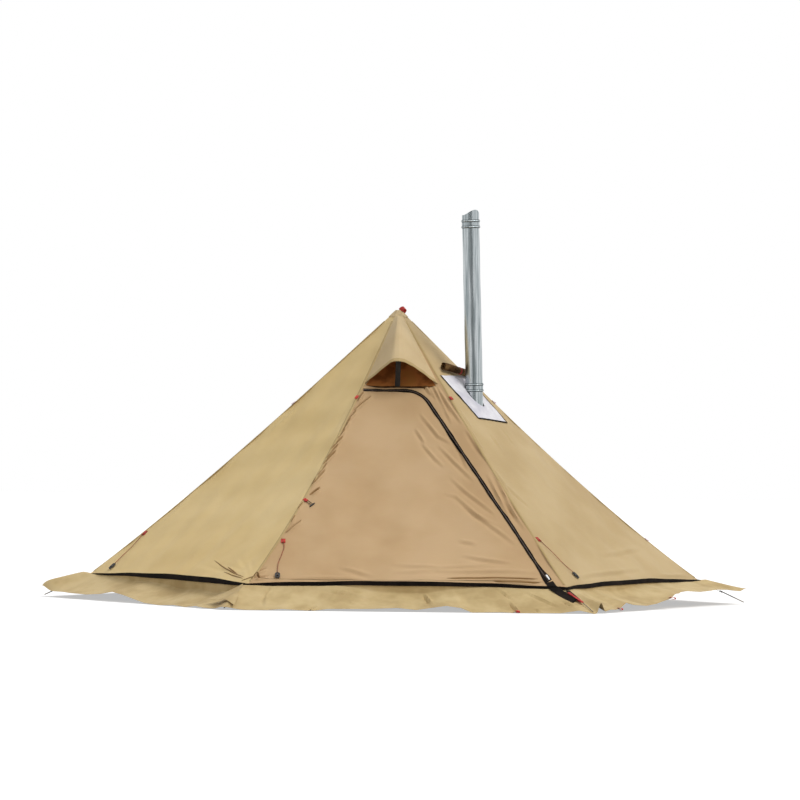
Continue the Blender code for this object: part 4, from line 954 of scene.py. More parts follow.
@dataclass(frozen=True)
class Crease:
    """A pulled wrinkle: a raised fold with a hollow beside it, along a line on a side."""

    # Millimetres along the side and up, by turns
    line: Line
    depth: float
    width: float

    def lift(self, places: Array) -> Array:
        """How far the crease lifts the cloth at each place.

        Args:
            places: Places on the side.

        Returns:
            One height a place.
        """
        _, off, along = nearest_on(pairs(self.line), places, closed=False)
        shape = np.exp(-(off / self.width) ** 2)
        hollow = np.exp(-((off + 1.7 * self.width) / (1.3 * self.width)) ** 2)
        fade = np.sin(np.pi * np.clip(along, 0.0, 1.0)) ** 0.7
        return self.depth * fade * (shape - 0.75 * hollow)


@dataclass
class Side:
    """One side of the canopy: its smooth shape with its own swells and creases."""

    index: int
    creases: list[Crease] = field(default_factory=list)
    # Round spots where something hard keeps the cloth smooth: millimetres along, up and radius
    calm: Lines = ()
    swell: float = 0.0022
    seam_fade: float = 0.012
    hem_fade: float = 0.012

    def __post_init__(self) -> None:
        """Works out the side's directions and its slow swells."""
        self.heading = CANOPY.side_heading(self.index)
        self.run = np.cross(UP, self.heading)
        self.normal = unit(self.heading * CANOPY.height + UP * CANOPY.apothem)
        self.up_slope = np.cross(self.normal, self.run)
        draw = np.random.default_rng(40 + self.index)
        turn = draw.uniform(0, math.tau, 7)
        beat = draw.uniform(2.0, 7.5, 7)
        self.waves = np.stack((np.cos(turn) * beat, np.sin(turn) * beat, draw.uniform(0, math.tau, 7)), -1)

    def solve(self, places: Array) -> tuple[Array, Array]:
        """Finds the shares across and up for places on the side.

        Args:
            places: Level distance from the side's middle, and height.

        Returns:
            The shares across and up.
        """
        along, height = places.T
        rise = (height - CANOPY.hem_height) / CANOPY.height
        for _ in range(4):
            start = CANOPY.ridge(self.index, rise) @ self.run
            end = CANOPY.ridge(self.index + 1, rise) @ self.run
            share = np.clip((along - start) / np.maximum(end - start, 1e-9), 0.0, 1.0)
            arch = CANOPY.hem_arch * 4 * share * (1 - share) * np.clip(1 - rise, 0, None) ** CANOPY.arch_fade
            rise = (height - CANOPY.hem_height - arch) / CANOPY.height
        return share, rise

    def relief(self, places: Array, share: Array, rise: Array) -> Array:
        """How far the wrinkled cloth stands off the smooth one.

        Args:
            places: Places on the side.
            share: Their shares across it.
            rise: Their shares of its height.

        Returns:
            One height a place.
        """
        total = np.zeros(len(places))
        x, y = places.T
        for across, up, phase in self.waves:
            total += self.swell / 2 * np.sin(across * math.tau * x + up * math.tau * y + phase)
        for crease in self.creases:
            total += crease.lift(places)
        width = np.linalg.norm(CANOPY.ridge(self.index + 1, rise) - CANOPY.ridge(self.index, rise), axis=1)
        fade = smooth_step(np.minimum(share, 1 - share) * width / self.seam_fade)
        fade *= smooth_step(rise * CANOPY.height / self.hem_fade) * smooth_step((0.985 - rise) / 0.06)
        for x, y, radius in np.reshape(self.calm, (-1, 3)) / 1000:
            fade *= smooth_step(np.linalg.norm(places - (x, y), axis=1) / radius - 0.4)
        return total * fade

    def points(self, places: Array, lift: float | Array = 0.0) -> Array:
        """Points on the wrinkled cloth.

        Args:
            places: Level distance from the side's middle, and height.
            lift: How far off the cloth, one for all or one each.

        Returns:
            One point a place.
        """
        places = np.asarray(places, float).reshape(-1, 2)
        share, rise = self.solve(places)
        smooth = CANOPY.cloth(self.index, share, rise)
        off = self.relief(places, share, rise) + lift
        return smooth + self.normal * off[:, None]

    def ring(self, origin: Array, axis: Array, radius: float, middle: Place, count: int = 64) -> Array:
        """The line where a round bore meets the side.

        Args:
            origin: A point on the bore's axis.
            axis: The axis's direction.
            radius: The bore's radius.
            middle: A place near the middle of the hole.
            count: How many points.

        Returns:
            Places on the side, counterclockwise.
        """
        turn = circle(count)
        way = np.stack((np.cos(turn), np.sin(turn)), -1)
        reach = np.full(count, radius)
        for _ in range(12):
            offset = self.points(np.array(middle) + way * reach[:, None]) - origin
            away = np.linalg.norm(offset - (offset @ axis)[:, None] * axis, axis=1)
            reach *= radius / np.maximum(away, 1e-6)
        return np.array(middle) + way * reach[:, None]


class ClothCut:
    """A side's cloth as a fine grid that can be cut along lines before it becomes a piece."""

    thickness: float = 0.0008

    def __init__(self, side: Side, columns: int, rows: int, finer: float = 0.0) -> None:
        """Lays the grid over the side.

        Args:
            side: The side.
            columns: Columns of quads.
            rows: Rows of quads.
            finer: How much finer it is at the hem and the first ridge, or at the last ridge if negative.
        """
        self.side = side
        across = crowded(columns, abs(finer), 0.12)
        if finer < 0:
            across = 1 - across[::-1]
        share, rise = np.meshgrid(across, CANOPY.top_share * crowded(rows, abs(finer), 0.06))
        smooth = CANOPY.cloth(side.index, share.ravel(), rise.ravel())
        self.places = np.stack((smooth @ side.run, smooth[:, 2]), -1)
        self.faces = quads(rows + 1, columns + 1)

    def cut(self, outline: Array, keep_inside: bool, line: Optional[Array] = None) -> "ClothCut":
        """Keeps the cloth on one side of a closed outline, its cut edge moved onto that or onto a line."""
        self.faces = cut_faces(self.places, self.faces, outline, keep_inside, line)
        return self

    def piece(self, name: str) -> Piece:
        """Makes the cloth as a closed thin sheet."""
        uv = np.stack((self.places[:, 0], self.places[:, 1] / self.side.up_slope[2]), -1)
        return shell(name, self.side.points(self.places), self.faces, self.thickness, uv)


def ribbon(
    name: str, side: Side, path: Array, near: float | Array, far: float | Array, lift: float,
    thickness: float = 0.001, crown: float = 0.0, steps: int = 3,
) -> Piece:
    """A strip of tape or cloth along a path on a side.

    Args:
        name: The piece's name.
        side: The side it is sewn to.
        path: Places along it.
        near: Distance of its first edge to the path's left, one for all or one each.
        far: Distance of its second edge to the path's left, one for all or one each.
        lift: Height of its outer face over the cloth.
        thickness: The strip's thickness.
        crown: How much its middle stands up.
        steps: Strips across it.

    Returns:
        The new object.
    """
    shares = np.linspace(0, 1, steps + 1)
    grid = np.stack([moved_left(path, near + (far - near) * share) for share in shares], 1)
    raised = np.broadcast_to(lift + crown * 4 * shares * (1 - shares), grid.shape[:2])
    points = side.points(grid.reshape(-1, 2), raised.ravel())
    width = float(np.mean(np.asarray(far) - near))
    uv = strip_map(travelled(path), shares * abs(width))
    faces = quads(len(path), steps + 1)
    if width > 0:
        faces = faces[:, ::-1]
    return shell(name, points, faces, thickness, uv)


def strap(
    name: str, path: Sequence[Sequence[float]], across: Array, width: float, thickness: float, steps: int = 4
) -> Piece:
    """A flat band along a free path.

    Args:
        name: The piece's name.
        path: Points along the middle of one of its faces.
        across: The direction of its width, one for all or one each.
        width: Its width.
        thickness: Its thickness.
        steps: Strips across it.

    Returns:
        The new object.
    """
    middle = np.asarray(path, float)
    wide = np.broadcast_to(across, middle.shape)
    shares = np.linspace(-0.5, 0.5, steps + 1) * width
    points = (middle[:, None] + wide[:, None] * shares[:, None]).reshape(-1, 3)
    uv = strip_map(travelled(middle), shares + width / 2)
    return shell(name, points, quads(len(middle), steps + 1), thickness, uv)


def placed(matrix: Matrix, points: Sequence[Sequence[float]]) -> Array:
    """Local points moved by a placement."""
    whole = np.array(matrix)
    return np.asarray(points, float) @ whole[:3, :3].T + whole[:3, 3]


def lathe(name: str, profile: Sequence[Place], matrix: Matrix, count: int = 72) -> Piece:
    """A closed ring turned from a profile.

    Args:
        name: The piece's name.
        profile: Radius and height of a closed outline.
        matrix: Where its axis is.
        count: Faces round it.

    Returns:
        The new object.
    """
    outline = np.asarray(profile, float)
    turn = circle(count)
    flat = np.stack((
        np.cos(turn)[:, None] * outline[:, 0], np.sin(turn)[:, None] * outline[:, 0],
        np.broadcast_to(outline[:, 1], (count, len(outline))),
    ), -1)
    points = placed(matrix, flat.reshape(-1, 3))
    uv = strip_map(turn * outline[0, 0], travelled(outline))
    return mesh_object(name, points, quads(count, len(outline), ring=True, loop=True), uv, 50.0)


def boxes(
    name: str, centres: Array, first: Array, second: Array, third: Array, size: Spot
) -> Piece:
    """Many small blocks as one piece, such as the turns of a zip's coil.

    Args:
        name: The piece's name.
        centres: The middle of each block.
        first: Each block's first direction.
        second: Each block's second direction.
        third: Each block's third direction.
        size: Lengths along the three directions.

    Returns:
        The new object.
    """
    signs = np.array([(a, b, c) for a in (-1, 1) for b in (-1, 1) for c in (-1, 1)], float) / 2
    axes = np.stack((first * size[0], second * size[1], third * size[2]), 1)
    points = centres[:, None] + np.einsum("ks,nsd->nkd", signs, axes)
    cube = np.array(((0, 1, 3, 2), (4, 6, 7, 5), (0, 4, 5, 1), (2, 3, 7, 6), (0, 2, 6, 4), (1, 5, 7, 3)))
    if np.linalg.det(axes[0]) < 0:
        cube = cube[:, ::-1]
    faces = (np.arange(len(centres))[:, None, None] * 8 + cube).reshape(-1, 4)
    return mesh_object(name, points.reshape(-1, 3), faces, np.zeros((len(centres) * 8, 2)))


# Studio


@dataclass
class Studio:
    """The camera that matches the photo, the soft light, the white surroundings and the floor."""

    location: Spot = (-1.3046, -29.9716, 1.0825)
    aim: Spot = (0.0129, 0.0, 1.0491)
    roll: float = 0.0126
    lens_mm: float = 257.97
    sensor_mm: float = 36.0
    ambient: float = 0.24
    key: float = 1.45
    key_from: Spot = (0.55, -0.31, 0.775)
    key_spread: float = 28.0
    top: float = 1.15
    top_from: Spot = (0.0, -0.15, 1.0)
    top_spread: float = 110.0
    floor_size: float = 60.0
    floor_glow: float = 0.48
    flag_distance: float = 34.0
    flag_reach: Place = (-17.0, 7.0)
    flag_height: Place = (-4.0, 11.0)

    def build(self) -> None:
        """Makes the whole studio."""
        self.add_camera()
        self.add_surroundings()
        self.add_lamp("key_light", self.key, self.key_from, self.key_spread)
        self.add_lamp("top_light", self.top, self.top_from, self.top_spread)
        self.add_floor()
        self.add_flag()
        scene = bpy.context.scene
        scene.view_settings.view_transform = "Standard"

    def add_camera(self) -> None:
        """Adds the camera fitted to the photo."""
        data = bpy.data.cameras.new("photo_camera")
        data.lens = self.lens_mm
        data.sensor_width = self.sensor_mm
        data.clip_end = 200.0
        ahead = (Vector(self.aim) - Vector(self.location)).normalized()
        right = ahead.cross(Vector(UP)).normalized()
        above = right.cross(ahead)
        cos, sin = math.cos(self.roll), math.sin(self.roll)
        x_axis, y_axis = right * cos + above * sin, above * cos - right * sin
        matrix = Matrix((x_axis, y_axis, -ahead)).transposed().to_4x4()
        matrix.translation = self.location
        bpy.context.scene.camera = link("photo_camera", data, matrix)

    def add_surroundings(self) -> None:
        """Makes the world: white where it is seen or mirrored, softer as a light."""
        world = bpy.data.worlds.new("studio_surroundings")
        world.use_nodes = True
        tree = world.node_tree
        rays = add_node(tree, "ShaderNodeLightPath").node.outputs
        white = rays["Is Camera Ray"]
        for kind in ("Is Transmission Ray", "Is Glossy Ray"):
            white = add_node(tree, "ShaderNodeMath", {0: white, 1: rays[kind]}, operation="MAXIMUM")
        strength = add_node(tree, "ShaderNodeMapRange", {"Value": white, "To Min": self.ambient})
        background = tree.nodes["Background"]
        background.inputs["Color"].default_value = WHITE
        tree.links.new(strength, background.inputs["Strength"])
        bpy.context.scene.world = world

    def add_lamp(self, name: str, strength: float, source: Spot, spread: float) -> None:
        """Adds a far lamp.

        Args:
            name: The lamp's name.
            strength: Its strength.
            source: The direction that it shines from.
            spread: How wide it looks, in degrees.
        """
        data = bpy.data.lights.new(name, "SUN")
        data.energy = strength
        data.angle = math.radians(spread)
        turn = Vector(source).to_track_quat("Z", "Y").to_matrix().to_4x4()
        link(name, data, turn)

    def add_floor(self) -> None:
        """Adds the pale floor, which glows a little so that only its shadows show."""
        half = self.floor_size / 2
        corners = np.array(((-half, -half, 0.0), (half, -half, 0.0), (half, half, 0.0), (-half, half, 0.0)))
        floor = mesh_object("studio_floor", corners, [(0, 1, 2, 3)])
        # Painted board: matt, without any gloss
        material, tree = Finish("matt_white_floor", "").start(
            Base_Color=linear("#DADADA"), Roughness=0.9, Specular_IOR_Level=0.0, Emission_Color=WHITE
        )
        seen = add_node(tree, "ShaderNodeLightPath", out="Is Camera Ray")
        glow = add_node(tree, "ShaderNodeMath", {0: seen, 1: self.floor_glow}, operation="MULTIPLY")
        tree.links.new(glow, tree.nodes["Principled BSDF"].inputs["Emission Strength"])
        floor.data.materials.append(material)

    def add_flag(self) -> None:
        """Adds the dark flag behind the camera that bright metal needs to show its shape."""
        (left, right), (low, high), y = self.flag_reach, self.flag_height, -self.flag_distance
        corners = np.array(((left, y, low), (right, y, low), (right, y, high), (left, y, high)))
        flag = mesh_object("studio_flag", corners, [(3, 2, 1, 0)])
        # Felt: no gloss, dark beside the white surroundings
        material, _ = Finish("black_felt_flag", "").start(Base_Color=linear("#6A7A7C"), Roughness=1.0)
        flag.data.materials.append(material)
        flag.visible_camera = flag.visible_diffuse = flag.visible_shadow = False


# Sub-assemblies of the tent


@dataclass
class GuyPoint:
    """A guy point: red tab, tied cord and black tensioner."""

    name: str
    body: str
    tab_rows: Lines
    knots: tuple[Spot, ...]
    length: float
    cord_radius: float = 0.0015
    tab_width: float = 0.022
    tab_length: float = 0.030
    layer: float = 0.0012
    knot_size: float = 0.0013

    def build(self) -> Piece:
        """Makes the cord, its knot and its tab.

        Returns:
            The cord.
        """
        cord = self.build_cord()
        knot = self.build_knot()
        tab = self.build_tab()
        for piece in (cord, knot, tab):
            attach(piece, self.body)
        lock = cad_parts[f"cord_lock_{self.name}"]
        dress(lock, PALETTE.nylon)
        return cord

    def build_cord(self) -> Piece:
        """The cord from the tab down to the tensioner.

        Returns:
            The new object.
        """
        line = smooth_path(self.knots, 29)
        data = bpy.data.curves.new(f"guy_cord_{self.name}", "CURVE")
        data.dimensions = "3D"
        data.bevel_depth = self.cord_radius
        data.bevel_resolution = 4
        data.use_fill_caps = True
        spline = data.splines.new("POLY")
        spline.points.add(len(line) - 1)
        for point, place in zip(spline.points, line):
            point.co = (*place, 1.0)
        cord = link(f"cord_of_guy_{self.name}", data)
        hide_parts(f"guy_cord_{self.name}")
        return dress(cord, PALETTE.cord)

    def build_knot(self) -> Piece:
        """The overhand knot below the tab, wound as a trefoil.

        Returns:
            The new object.
        """
        turn = circle(72)
        coil = np.stack((
            np.sin(turn) + 2 * np.sin(2 * turn), np.cos(turn) - 2 * np.cos(2 * turn), -1.2 * np.sin(3 * turn)
        ), -1) * self.knot_size
        middle = np.asarray(self.knots[1])
        knot = tube(f"knot_of_guy_{self.name}", middle + coil, self.cord_radius, 8, ring=True)
        return dress(knot, PALETTE.cord)

    def build_tab(self) -> Piece:
        """The folded webbing tab that the cord is tied to.

        Returns:
            The new object.
        """
        matrix = Matrix((*self.tab_rows, (0.0, 0.0, 0.0, 1.0)))
        half, layer = self.tab_length / 2, self.layer
        fold = (
            (1.0, -1.0), (0.3, -1.0), (-0.5, -1.1), (-0.9, -0.8), (-1.03, 0.0), (-0.95, 1.2), (-0.5, 1.9),
            (0.3, 1.4), (1.0, 1.1),
        )
        path = smooth_path([(0.0, along * half, up * layer) for along, up in fold], 24)
        tab = strap(
            f"tab_of_guy_{self.name}", placed(matrix, path), np.array(matrix)[:3, 0], self.tab_width, layer, 6
        )
        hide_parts(f"guy_tab_{self.name}")
        return dress(tab, PALETTE.red_webbing)


GUY_POINTS = (
    GuyPoint(
        "left", "canopy",
        ((0.5248, 0.6265, -0.5762, -1.3134), (-0.8512, 0.3862, -0.3552, -0.0228),
         (0.0, 0.6769, 0.736, 0.3385)),
        ((-1.3155, -0.0241, 0.3411), (-1.3249, -0.0299, 0.331), (-1.341, -0.0433, 0.3105),
         (-1.3758, -0.0671, 0.2709), (-1.4201, -0.0862, 0.2274), (-1.4652, -0.1197, 0.1822)),
        0.239,
    ),
    GuyPoint(
        "front_left", "door",
        ((0.9993, 0.0294, -0.0247, -0.615), (-0.0384, 0.7649, -0.643, -1.1132),
         (0.0, 0.6435, 0.7654, 0.3345)),
        ((-0.6151, -1.1155, 0.3373), (-0.6156, -1.127, 0.3276), (-0.611, -1.1516, 0.3065),
         (-0.6242, -1.1984, 0.2685), (-0.6421, -1.252, 0.226), (-0.6473, -1.3144, 0.1807)),
        0.258,
    ),
    GuyPoint(
        "front_right", "canopy",
        ((0.5418, -0.61, 0.5782, 0.6715), (0.8405, 0.3932, -0.3727, -1.1141),
         (0.0, 0.6879, 0.7258, 0.3565)),
        ((0.6736, -1.1154, 0.3591), (0.6828, -1.1213, 0.3487), (0.7031, -1.1276, 0.3285),
         (0.7483, -1.1389, 0.2869), (0.7904, -1.1614, 0.2422), (0.8433, -1.1758, 0.1956)),
        0.244,
    ),
)


@dataclass
class Zip:
    """The zip's line on the front, its two tapes, coils and slider."""

    top_height: float = 1.098
    start: float = -0.19346
    corner: float = 0.10284
    slope: float = 1.0013089
    bend: float = 0.14
    foot_height: float = 0.1505
    level_width: float = 0.0062
    tape_width: float = 0.0095
    foot_width: float = 0.019
    foot_reach: float = 0.11
    tape_lift: float = 0.0016
    coil_pitch: float = 0.0024
    coil_size: Spot = (0.0026, 0.0013, 0.0016)
    # Half the gap between the two tapes, where the coils mesh
    gap: float = 0.0010
    thickness: float = 0.0009
    crown: float = 0.0004

    def line(self, start: float, foot_height: float) -> Array:
        """The zip's line: level along the top, round its bend and down its slope.

        Args:
            start: Where it starts along the front.
            foot_height: The height where it ends.

        Returns:
            Places on the front.
        """
        bend_start = self.corner - self.bend * math.tan(self.slope / 2)
        level = [(x, self.top_height) for x in np.linspace(start, bend_start, 8)[:-1]]
        turn = np.linspace(math.pi / 2, math.pi / 2 - self.slope, 16)
        middle = self.top_height - self.bend
        arc = [(bend_start + self.bend * math.cos(a), middle + self.bend * math.sin(a)) for a in turn]
        foot = (self.corner + (self.top_height - foot_height) / math.tan(self.slope), foot_height)
        return resampled(level + arc + [foot], 0.012)

    def doorway(self, grow: float) -> Array:
        """The doorway's outline, as a closed loop past the left ridge.

        Args:
            grow: How far it is moved outwards.

        Returns:
            Places on the front.
        """
        far_left, foot = -1.6, self.foot_height - grow
        path = moved_left(self.line(far_left, foot), grow)
        path[-1, 1] = foot
        return np.vstack((path, ((far_left, foot),)))

    def build(self, front: Side) -> list[Piece]:
        """Makes the tapes and coils.

        Args:
            front: The side that the zip is sewn into.

        Returns:
            The pieces that belong to the door.
        """
        path = self.line(self.start, self.foot_height)
        reach = travelled(path)
        width = self.level_width + (self.tape_width - self.level_width) * smooth_step(reach / 0.45)
        width += (self.foot_width - self.tape_width) * smooth_step(1 - (reach[-1] - reach) / self.foot_reach)
        width += 0.0007 * np.sin(reach * 37) + 0.0005 * np.sin(reach * 91 + 1)
        layer = (self.tape_lift, self.thickness, self.crown)
        frame_tape = ribbon("frame_zip_tape", front, path, self.gap, width, *layer)
        door_tape = ribbon("door_zip_tape", front, path, -width, -self.gap, *layer)
        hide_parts("zip_tape_frame")
        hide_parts("zip_tape_door")
        for tape in (frame_tape, door_tape):
            dress(tape, PALETTE.zip_tape)
        frame_coil = self.coil("frame_zip_coil", front, path, self.gap, 0.0)
        door_coil = self.coil("door_zip_coil", front, path, -self.gap, 0.5)
        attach(frame_tape, "canopy")
        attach(frame_coil, "canopy")
        dress(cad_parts["zip_slider"], PALETTE.slider)
        return [door_tape, door_coil]

    def coil(self, name: str, front: Side, path: Array, off: float, start: float) -> Piece:
        """One half of the nylon coil, as its separate turns.

        Args:
            name: The piece's name.
            front: The side that the zip is sewn into.
            path: The zip's line.
            off: Distance of the turns' middle to the line's left.
            start: How far the first turn is shifted, in turns.

        Returns:
            The new object.
        """
        goals = np.arange(0.5 + start, travelled(path)[-1] / self.coil_pitch - 0.5) * self.coil_pitch
        beside = moved_left(spots_along(path, goals), off)
        centres = front.points(beside, self.tape_lift + self.coil_size[2] * 0.3)
        ahead = unit(np.gradient(centres, axis=0))
        out = unit(np.cross(ahead, np.cross(np.broadcast_to(front.normal, ahead.shape), ahead)))
        return dress(boxes(name, centres, np.cross(out, ahead), ahead, out, self.coil_size), PALETTE.coil_painted_highlight)


@dataclass
class Vent:
    """The vent's opening, its mesh, the hood with its stiffened lip, and the prop."""

    opening: tuple[Place, ...] = (
        (-0.180, 1.123), (-0.150, 1.117), (-0.120, 1.112), (0.110, 1.112), (0.150, 1.117), (0.182, 1.122),
        (0.07161, 1.315), (-0.05727, 1.315),
    )
    mesh_outline: tuple[Place, ...] = ((-0.190, 1.106), (0.19837, 1.106), (0.07801, 1.329), (-0.06458, 1.329))
    # A dark strip along the opening's foot: painted shade of the inner wall seen through it
    shade_strip_line: tuple[Place, ...] = ((-0.186, 1.1165), (-0.09, 1.1150), (0.05, 1.1145), (0.188, 1.1165))
    shade_strip_width: float = 0.016
    mesh_depth: float = 0.0032
    edge_shares: tuple[float, float] = (0.012, 0.945)
    top_share: float = 0.970
    lip_share: float = 0.722
    # The lip's hem: shares down the hood, and how far each row stands off it
    lip_rows: tuple[Place, ...] = (
        (0.955, 0.0004), (0.985, 0.0012), (1.006, 0.0008), (1.012, -0.0012), (1.0, -0.0034)
    )
    # Thousandths across the hood and of how far it stands out: steep left, blunt peak, long right facet
    profile: Line = (
        0, 0, 100, 270, 220, 610, 300, 830, 345, 940, 380, 985, 450, 1000, 530, 950, 650, 760, 800, 450, 920,
        160, 1000, 0,
    )
    lip_out: float = 0.118
    lip_up: float = 0.115
    bulge: float = 0.012
    lift: float = 0.0016
    thickness: float = 0.0012
    columns: int = 72
    rows: int = 44
    crumple: float = 0.0018

    def hood_surface(self, front: Side, across: Array, drop: Array) -> Array:
        """Points of the hood's face.

        Args:
            front: The front side.
            across: Shares across it.
            drop: Shares from its top to its lip.

        Returns:
            One point a place.
        """
        left, right = self.edge_shares
        share = left + (right - left) * across
        rise = self.top_share + (self.lip_share - self.top_share) * drop
        base = CANOPY.cloth(FRONT, share, rise) + front.normal * self.lift
        shape = np.interp(across, *pairs(self.profile).T)
        slope = 1 - shape
        proud = drop ** 0.8 * shape
        out = np.array((0.0, -self.lip_out, self.lip_up)) * proud[:, None]
        full = self.bulge * 4 * drop * (1 - drop) * (1 - slope)
        waves = np.sin(across * 23 + 4 * drop) * np.sin(drop * 9 + across * 5)
        waves = waves + 0.6 * np.sin(across * 41 - drop * 13)
        full = full + self.crumple * waves * drop * 4 * slope * (1 - slope)
        return base + out + front.normal * full[:, None]

    def build(self, front: Side) -> None:
        """Makes the mesh, the hood and its lip.

        Args:
            front: The side that they are sewn to.
        """
        corners = np.array(self.mesh_outline)
        across, up = even_shares(25, 17)
        low = corners[0] + (corners[1] - corners[0]) * across[:, None]
        high = corners[3] + (corners[2] - corners[3]) * across[:, None]
        flat = low + (high - low) * up[:, None]
        mesh = shell("insect_mesh", front.points(flat, -self.mesh_depth), quads(17, 25), 0.0006, flat)
        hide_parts("vent_mesh")
        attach(dress(mesh, PALETTE.mesh), "canopy")
        # Dark strip at the opening's foot: painted shade of the inner wall seen through it
        line = resampled(smooth_path(self.shade_strip_line, 12), 0.012)
        half = self.shade_strip_width / 2
        shade_strip = ribbon("shade_strip_of_mesh", front, line, -half, half, -0.0016, 0.0008, 0.0006)
        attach(dress(shade_strip, PALETTE.flap_cloth), "canopy")

        points = self.hood_surface(front, *even_shares(self.columns + 1, self.rows + 1))
        uv = np.stack((points[:, 0], points[:, 2] / front.up_slope[2]), -1)
        faces = quads(self.rows + 1, self.columns + 1)[:, ::-1]
        hood = shell("hood_of_vent", points, faces, self.thickness, uv)
        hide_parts("vent_hood")
        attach(dress(hood, PALETTE.lit_hood_cloth), "canopy")

        along = np.linspace(0.0, 1.0, self.columns + 1)
        rows = [
            self.hood_surface(front, along, np.full_like(along, drop)) + front.normal * lower
            for drop, lower in self.lip_rows
        ]
        lip, uv = np.stack(rows, 1).reshape(-1, 3), strip_map(along * 0.5, np.linspace(0, 0.02, len(rows)))
        hem = shell("hood_lip_hem", lip, quads(len(along), len(rows)), 0.0009, uv)
        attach(dress(hem, PALETTE.seam), "canopy")
        for piece in (hood, hem):
            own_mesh(piece)
        dress(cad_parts["vent_prop"], PALETTE.nylon)


@dataclass
class StoveJack:
    """The heat-proof patch, its binding, the rolled rain flap and its tie."""

    bottom: float = 0.962
    length: float = 0.216
    width: float = 0.31003
    shift: float = -0.010
    pipe_radius: float = 0.045
    patch_clearance: float = 0.0048
    wall_clearance: float = 0.014
    binding: float = 0.0065
    lift: float = 0.0022
    thickness: float = 0.0012
    droop: float = 0.022
    roll_radius: float = 0.021
    roll_length: float = 0.25003
    roll_rise: float = 0.011
    roll_slope: float = -0.163
    roll_turns: float = 2.6
    pipe_foot: Spot = (0.41348, -0.225, 0.37183)
    pipe_lean: float = math.radians(1.95)

    @property
    def axis(self) -> Array:
        """The flue's direction."""
        return np.array((-math.sin(self.pipe_lean), 0.0, math.cos(self.pipe_lean)))

    @property
    def middle(self) -> Place:
        """Where the flue goes through the side."""
        return (0.024, 1.075)

    def hole(self, side: Side, clearance: float) -> Array:
        """The hole for the flue, as a line on the side."""
        return side.ring(np.array(self.pipe_foot), self.axis, self.pipe_radius + clearance, self.middle)

    def build(self, side: Side) -> None:
        """Makes the patch, the binding and the roll.

        Args:
            side: The side that they are sewn to.
        """
        left, right = self.shift - self.width / 2, self.shift + self.width / 2
        low, high = self.bottom, self.bottom + self.length
        along, up = np.meshgrid(np.linspace(left, right, 97), np.linspace(low, high, 69))
        hang = self.droop * (along - left) / self.width * (high - up) / self.length
        places = np.stack((along.ravel(), (up - hang).ravel()), -1)
        faces = cut_faces(places, quads(69, 97), self.hole(side, self.patch_clearance), False)
        waves = 0.0012 * np.sin(places[:, 0] * 70 + 1) * np.sin(places[:, 1] * 55)
        points = side.points(places, self.lift + waves)
        patch = shell("heat_proof_patch", points, faces, self.thickness, places)
        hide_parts("jack_panel")
        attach(dress(patch, PALETTE.glass_cloth), "canopy")

        edge = [(left, high), (left - 0.001, low + 0.130), (left + 0.005, low + 0.112), (left, low + 0.092)]
        edge += [(left, low), (right, low - self.droop), (right, high)]
        path = resampled(edge, 0.006)
        # The binding is gathered where its left edge is pulled
        gather = np.exp(-((path[:, 1] - low - 0.112) / 0.016) ** 2)
        pulled = self.binding * (1 + 0.9 * gather * (path[:, 0] < 0))
        pulled = pulled + 0.0008 * np.sin(np.arange(len(path)) * 0.9)
        strip = ribbon("binding_of_jack", side, path, -pulled, 0.0, self.lift + 0.0014, 0.0012, 0.0008, 4)
        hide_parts("jack_binding")
        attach(dress(strip, PALETTE.black_webbing), "canopy")
        self.build_roll(side, high)

    def build_roll(self, side: Side, high: float) -> None:
        """Makes the rolled rain flap and its tie.

        Args:
            side: The side that it is sewn to.
            high: The patch's top edge.
        """
        turn = np.linspace(0.0, self.roll_turns * math.tau, 84)
        radius = 0.006 + (self.roll_radius - 0.0072) * (turn / turn[-1]) ** 0.8
        along = np.linspace(-0.5, 0.5, 41) * self.roll_length
        places = np.stack((along, high + self.roll_rise + along * self.roll_slope), -1)
        middle = side.points(places, self.roll_radius + self.lift + 0.001)
        axis = unit(np.gradient(middle, axis=0))
        out = unit(side.normal - axis * (axis @ side.normal)[:, None])
        up = np.cross(axis, out)
        pinch = 1 - 0.16 * np.exp(-((along - 0.004) / 0.02) ** 2)
        uneven = 1 + 0.05 * np.sin(along * 31 + 1)[:, None] * np.sin(turn * 1.0 + 0.6)[None]
        reach = (radius[None] * pinch[:, None] * uneven)[..., None]
        angle = (-turn + 2.2)[:, None]
        spiral = out[:, None] * (np.cos(angle) * reach) + up[:, None] * (np.sin(angle) * reach)
        points = middle[:, None] + spiral
        length = np.concatenate(([0.0], np.cumsum(np.hypot(np.diff(radius), np.diff(turn) * radius[1:]))))
        faces = quads(len(along), len(turn))
        roll = shell("rolled_rain_flap", points.reshape(-1, 3), faces, 0.0012, strip_map(along, length))
        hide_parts("jack_flap_roll")
        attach(dress(roll, PALETTE.flap_cloth), "canopy")

        ring = circle(48)
        spot = int(np.argmin(np.abs(along - 0.004)))
        loop = middle[spot] + (
            out[spot] * np.cos(ring)[:, None] + up[spot] * np.sin(ring)[:, None]
        ) * (self.roll_radius * 0.88)
        tie = strap("tie_of_rain_flap", np.vstack((loop, loop[:1])), axis[spot], 0.011, 0.0011, 3)
        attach(dress(tie, PALETTE.red_webbing), "canopy")


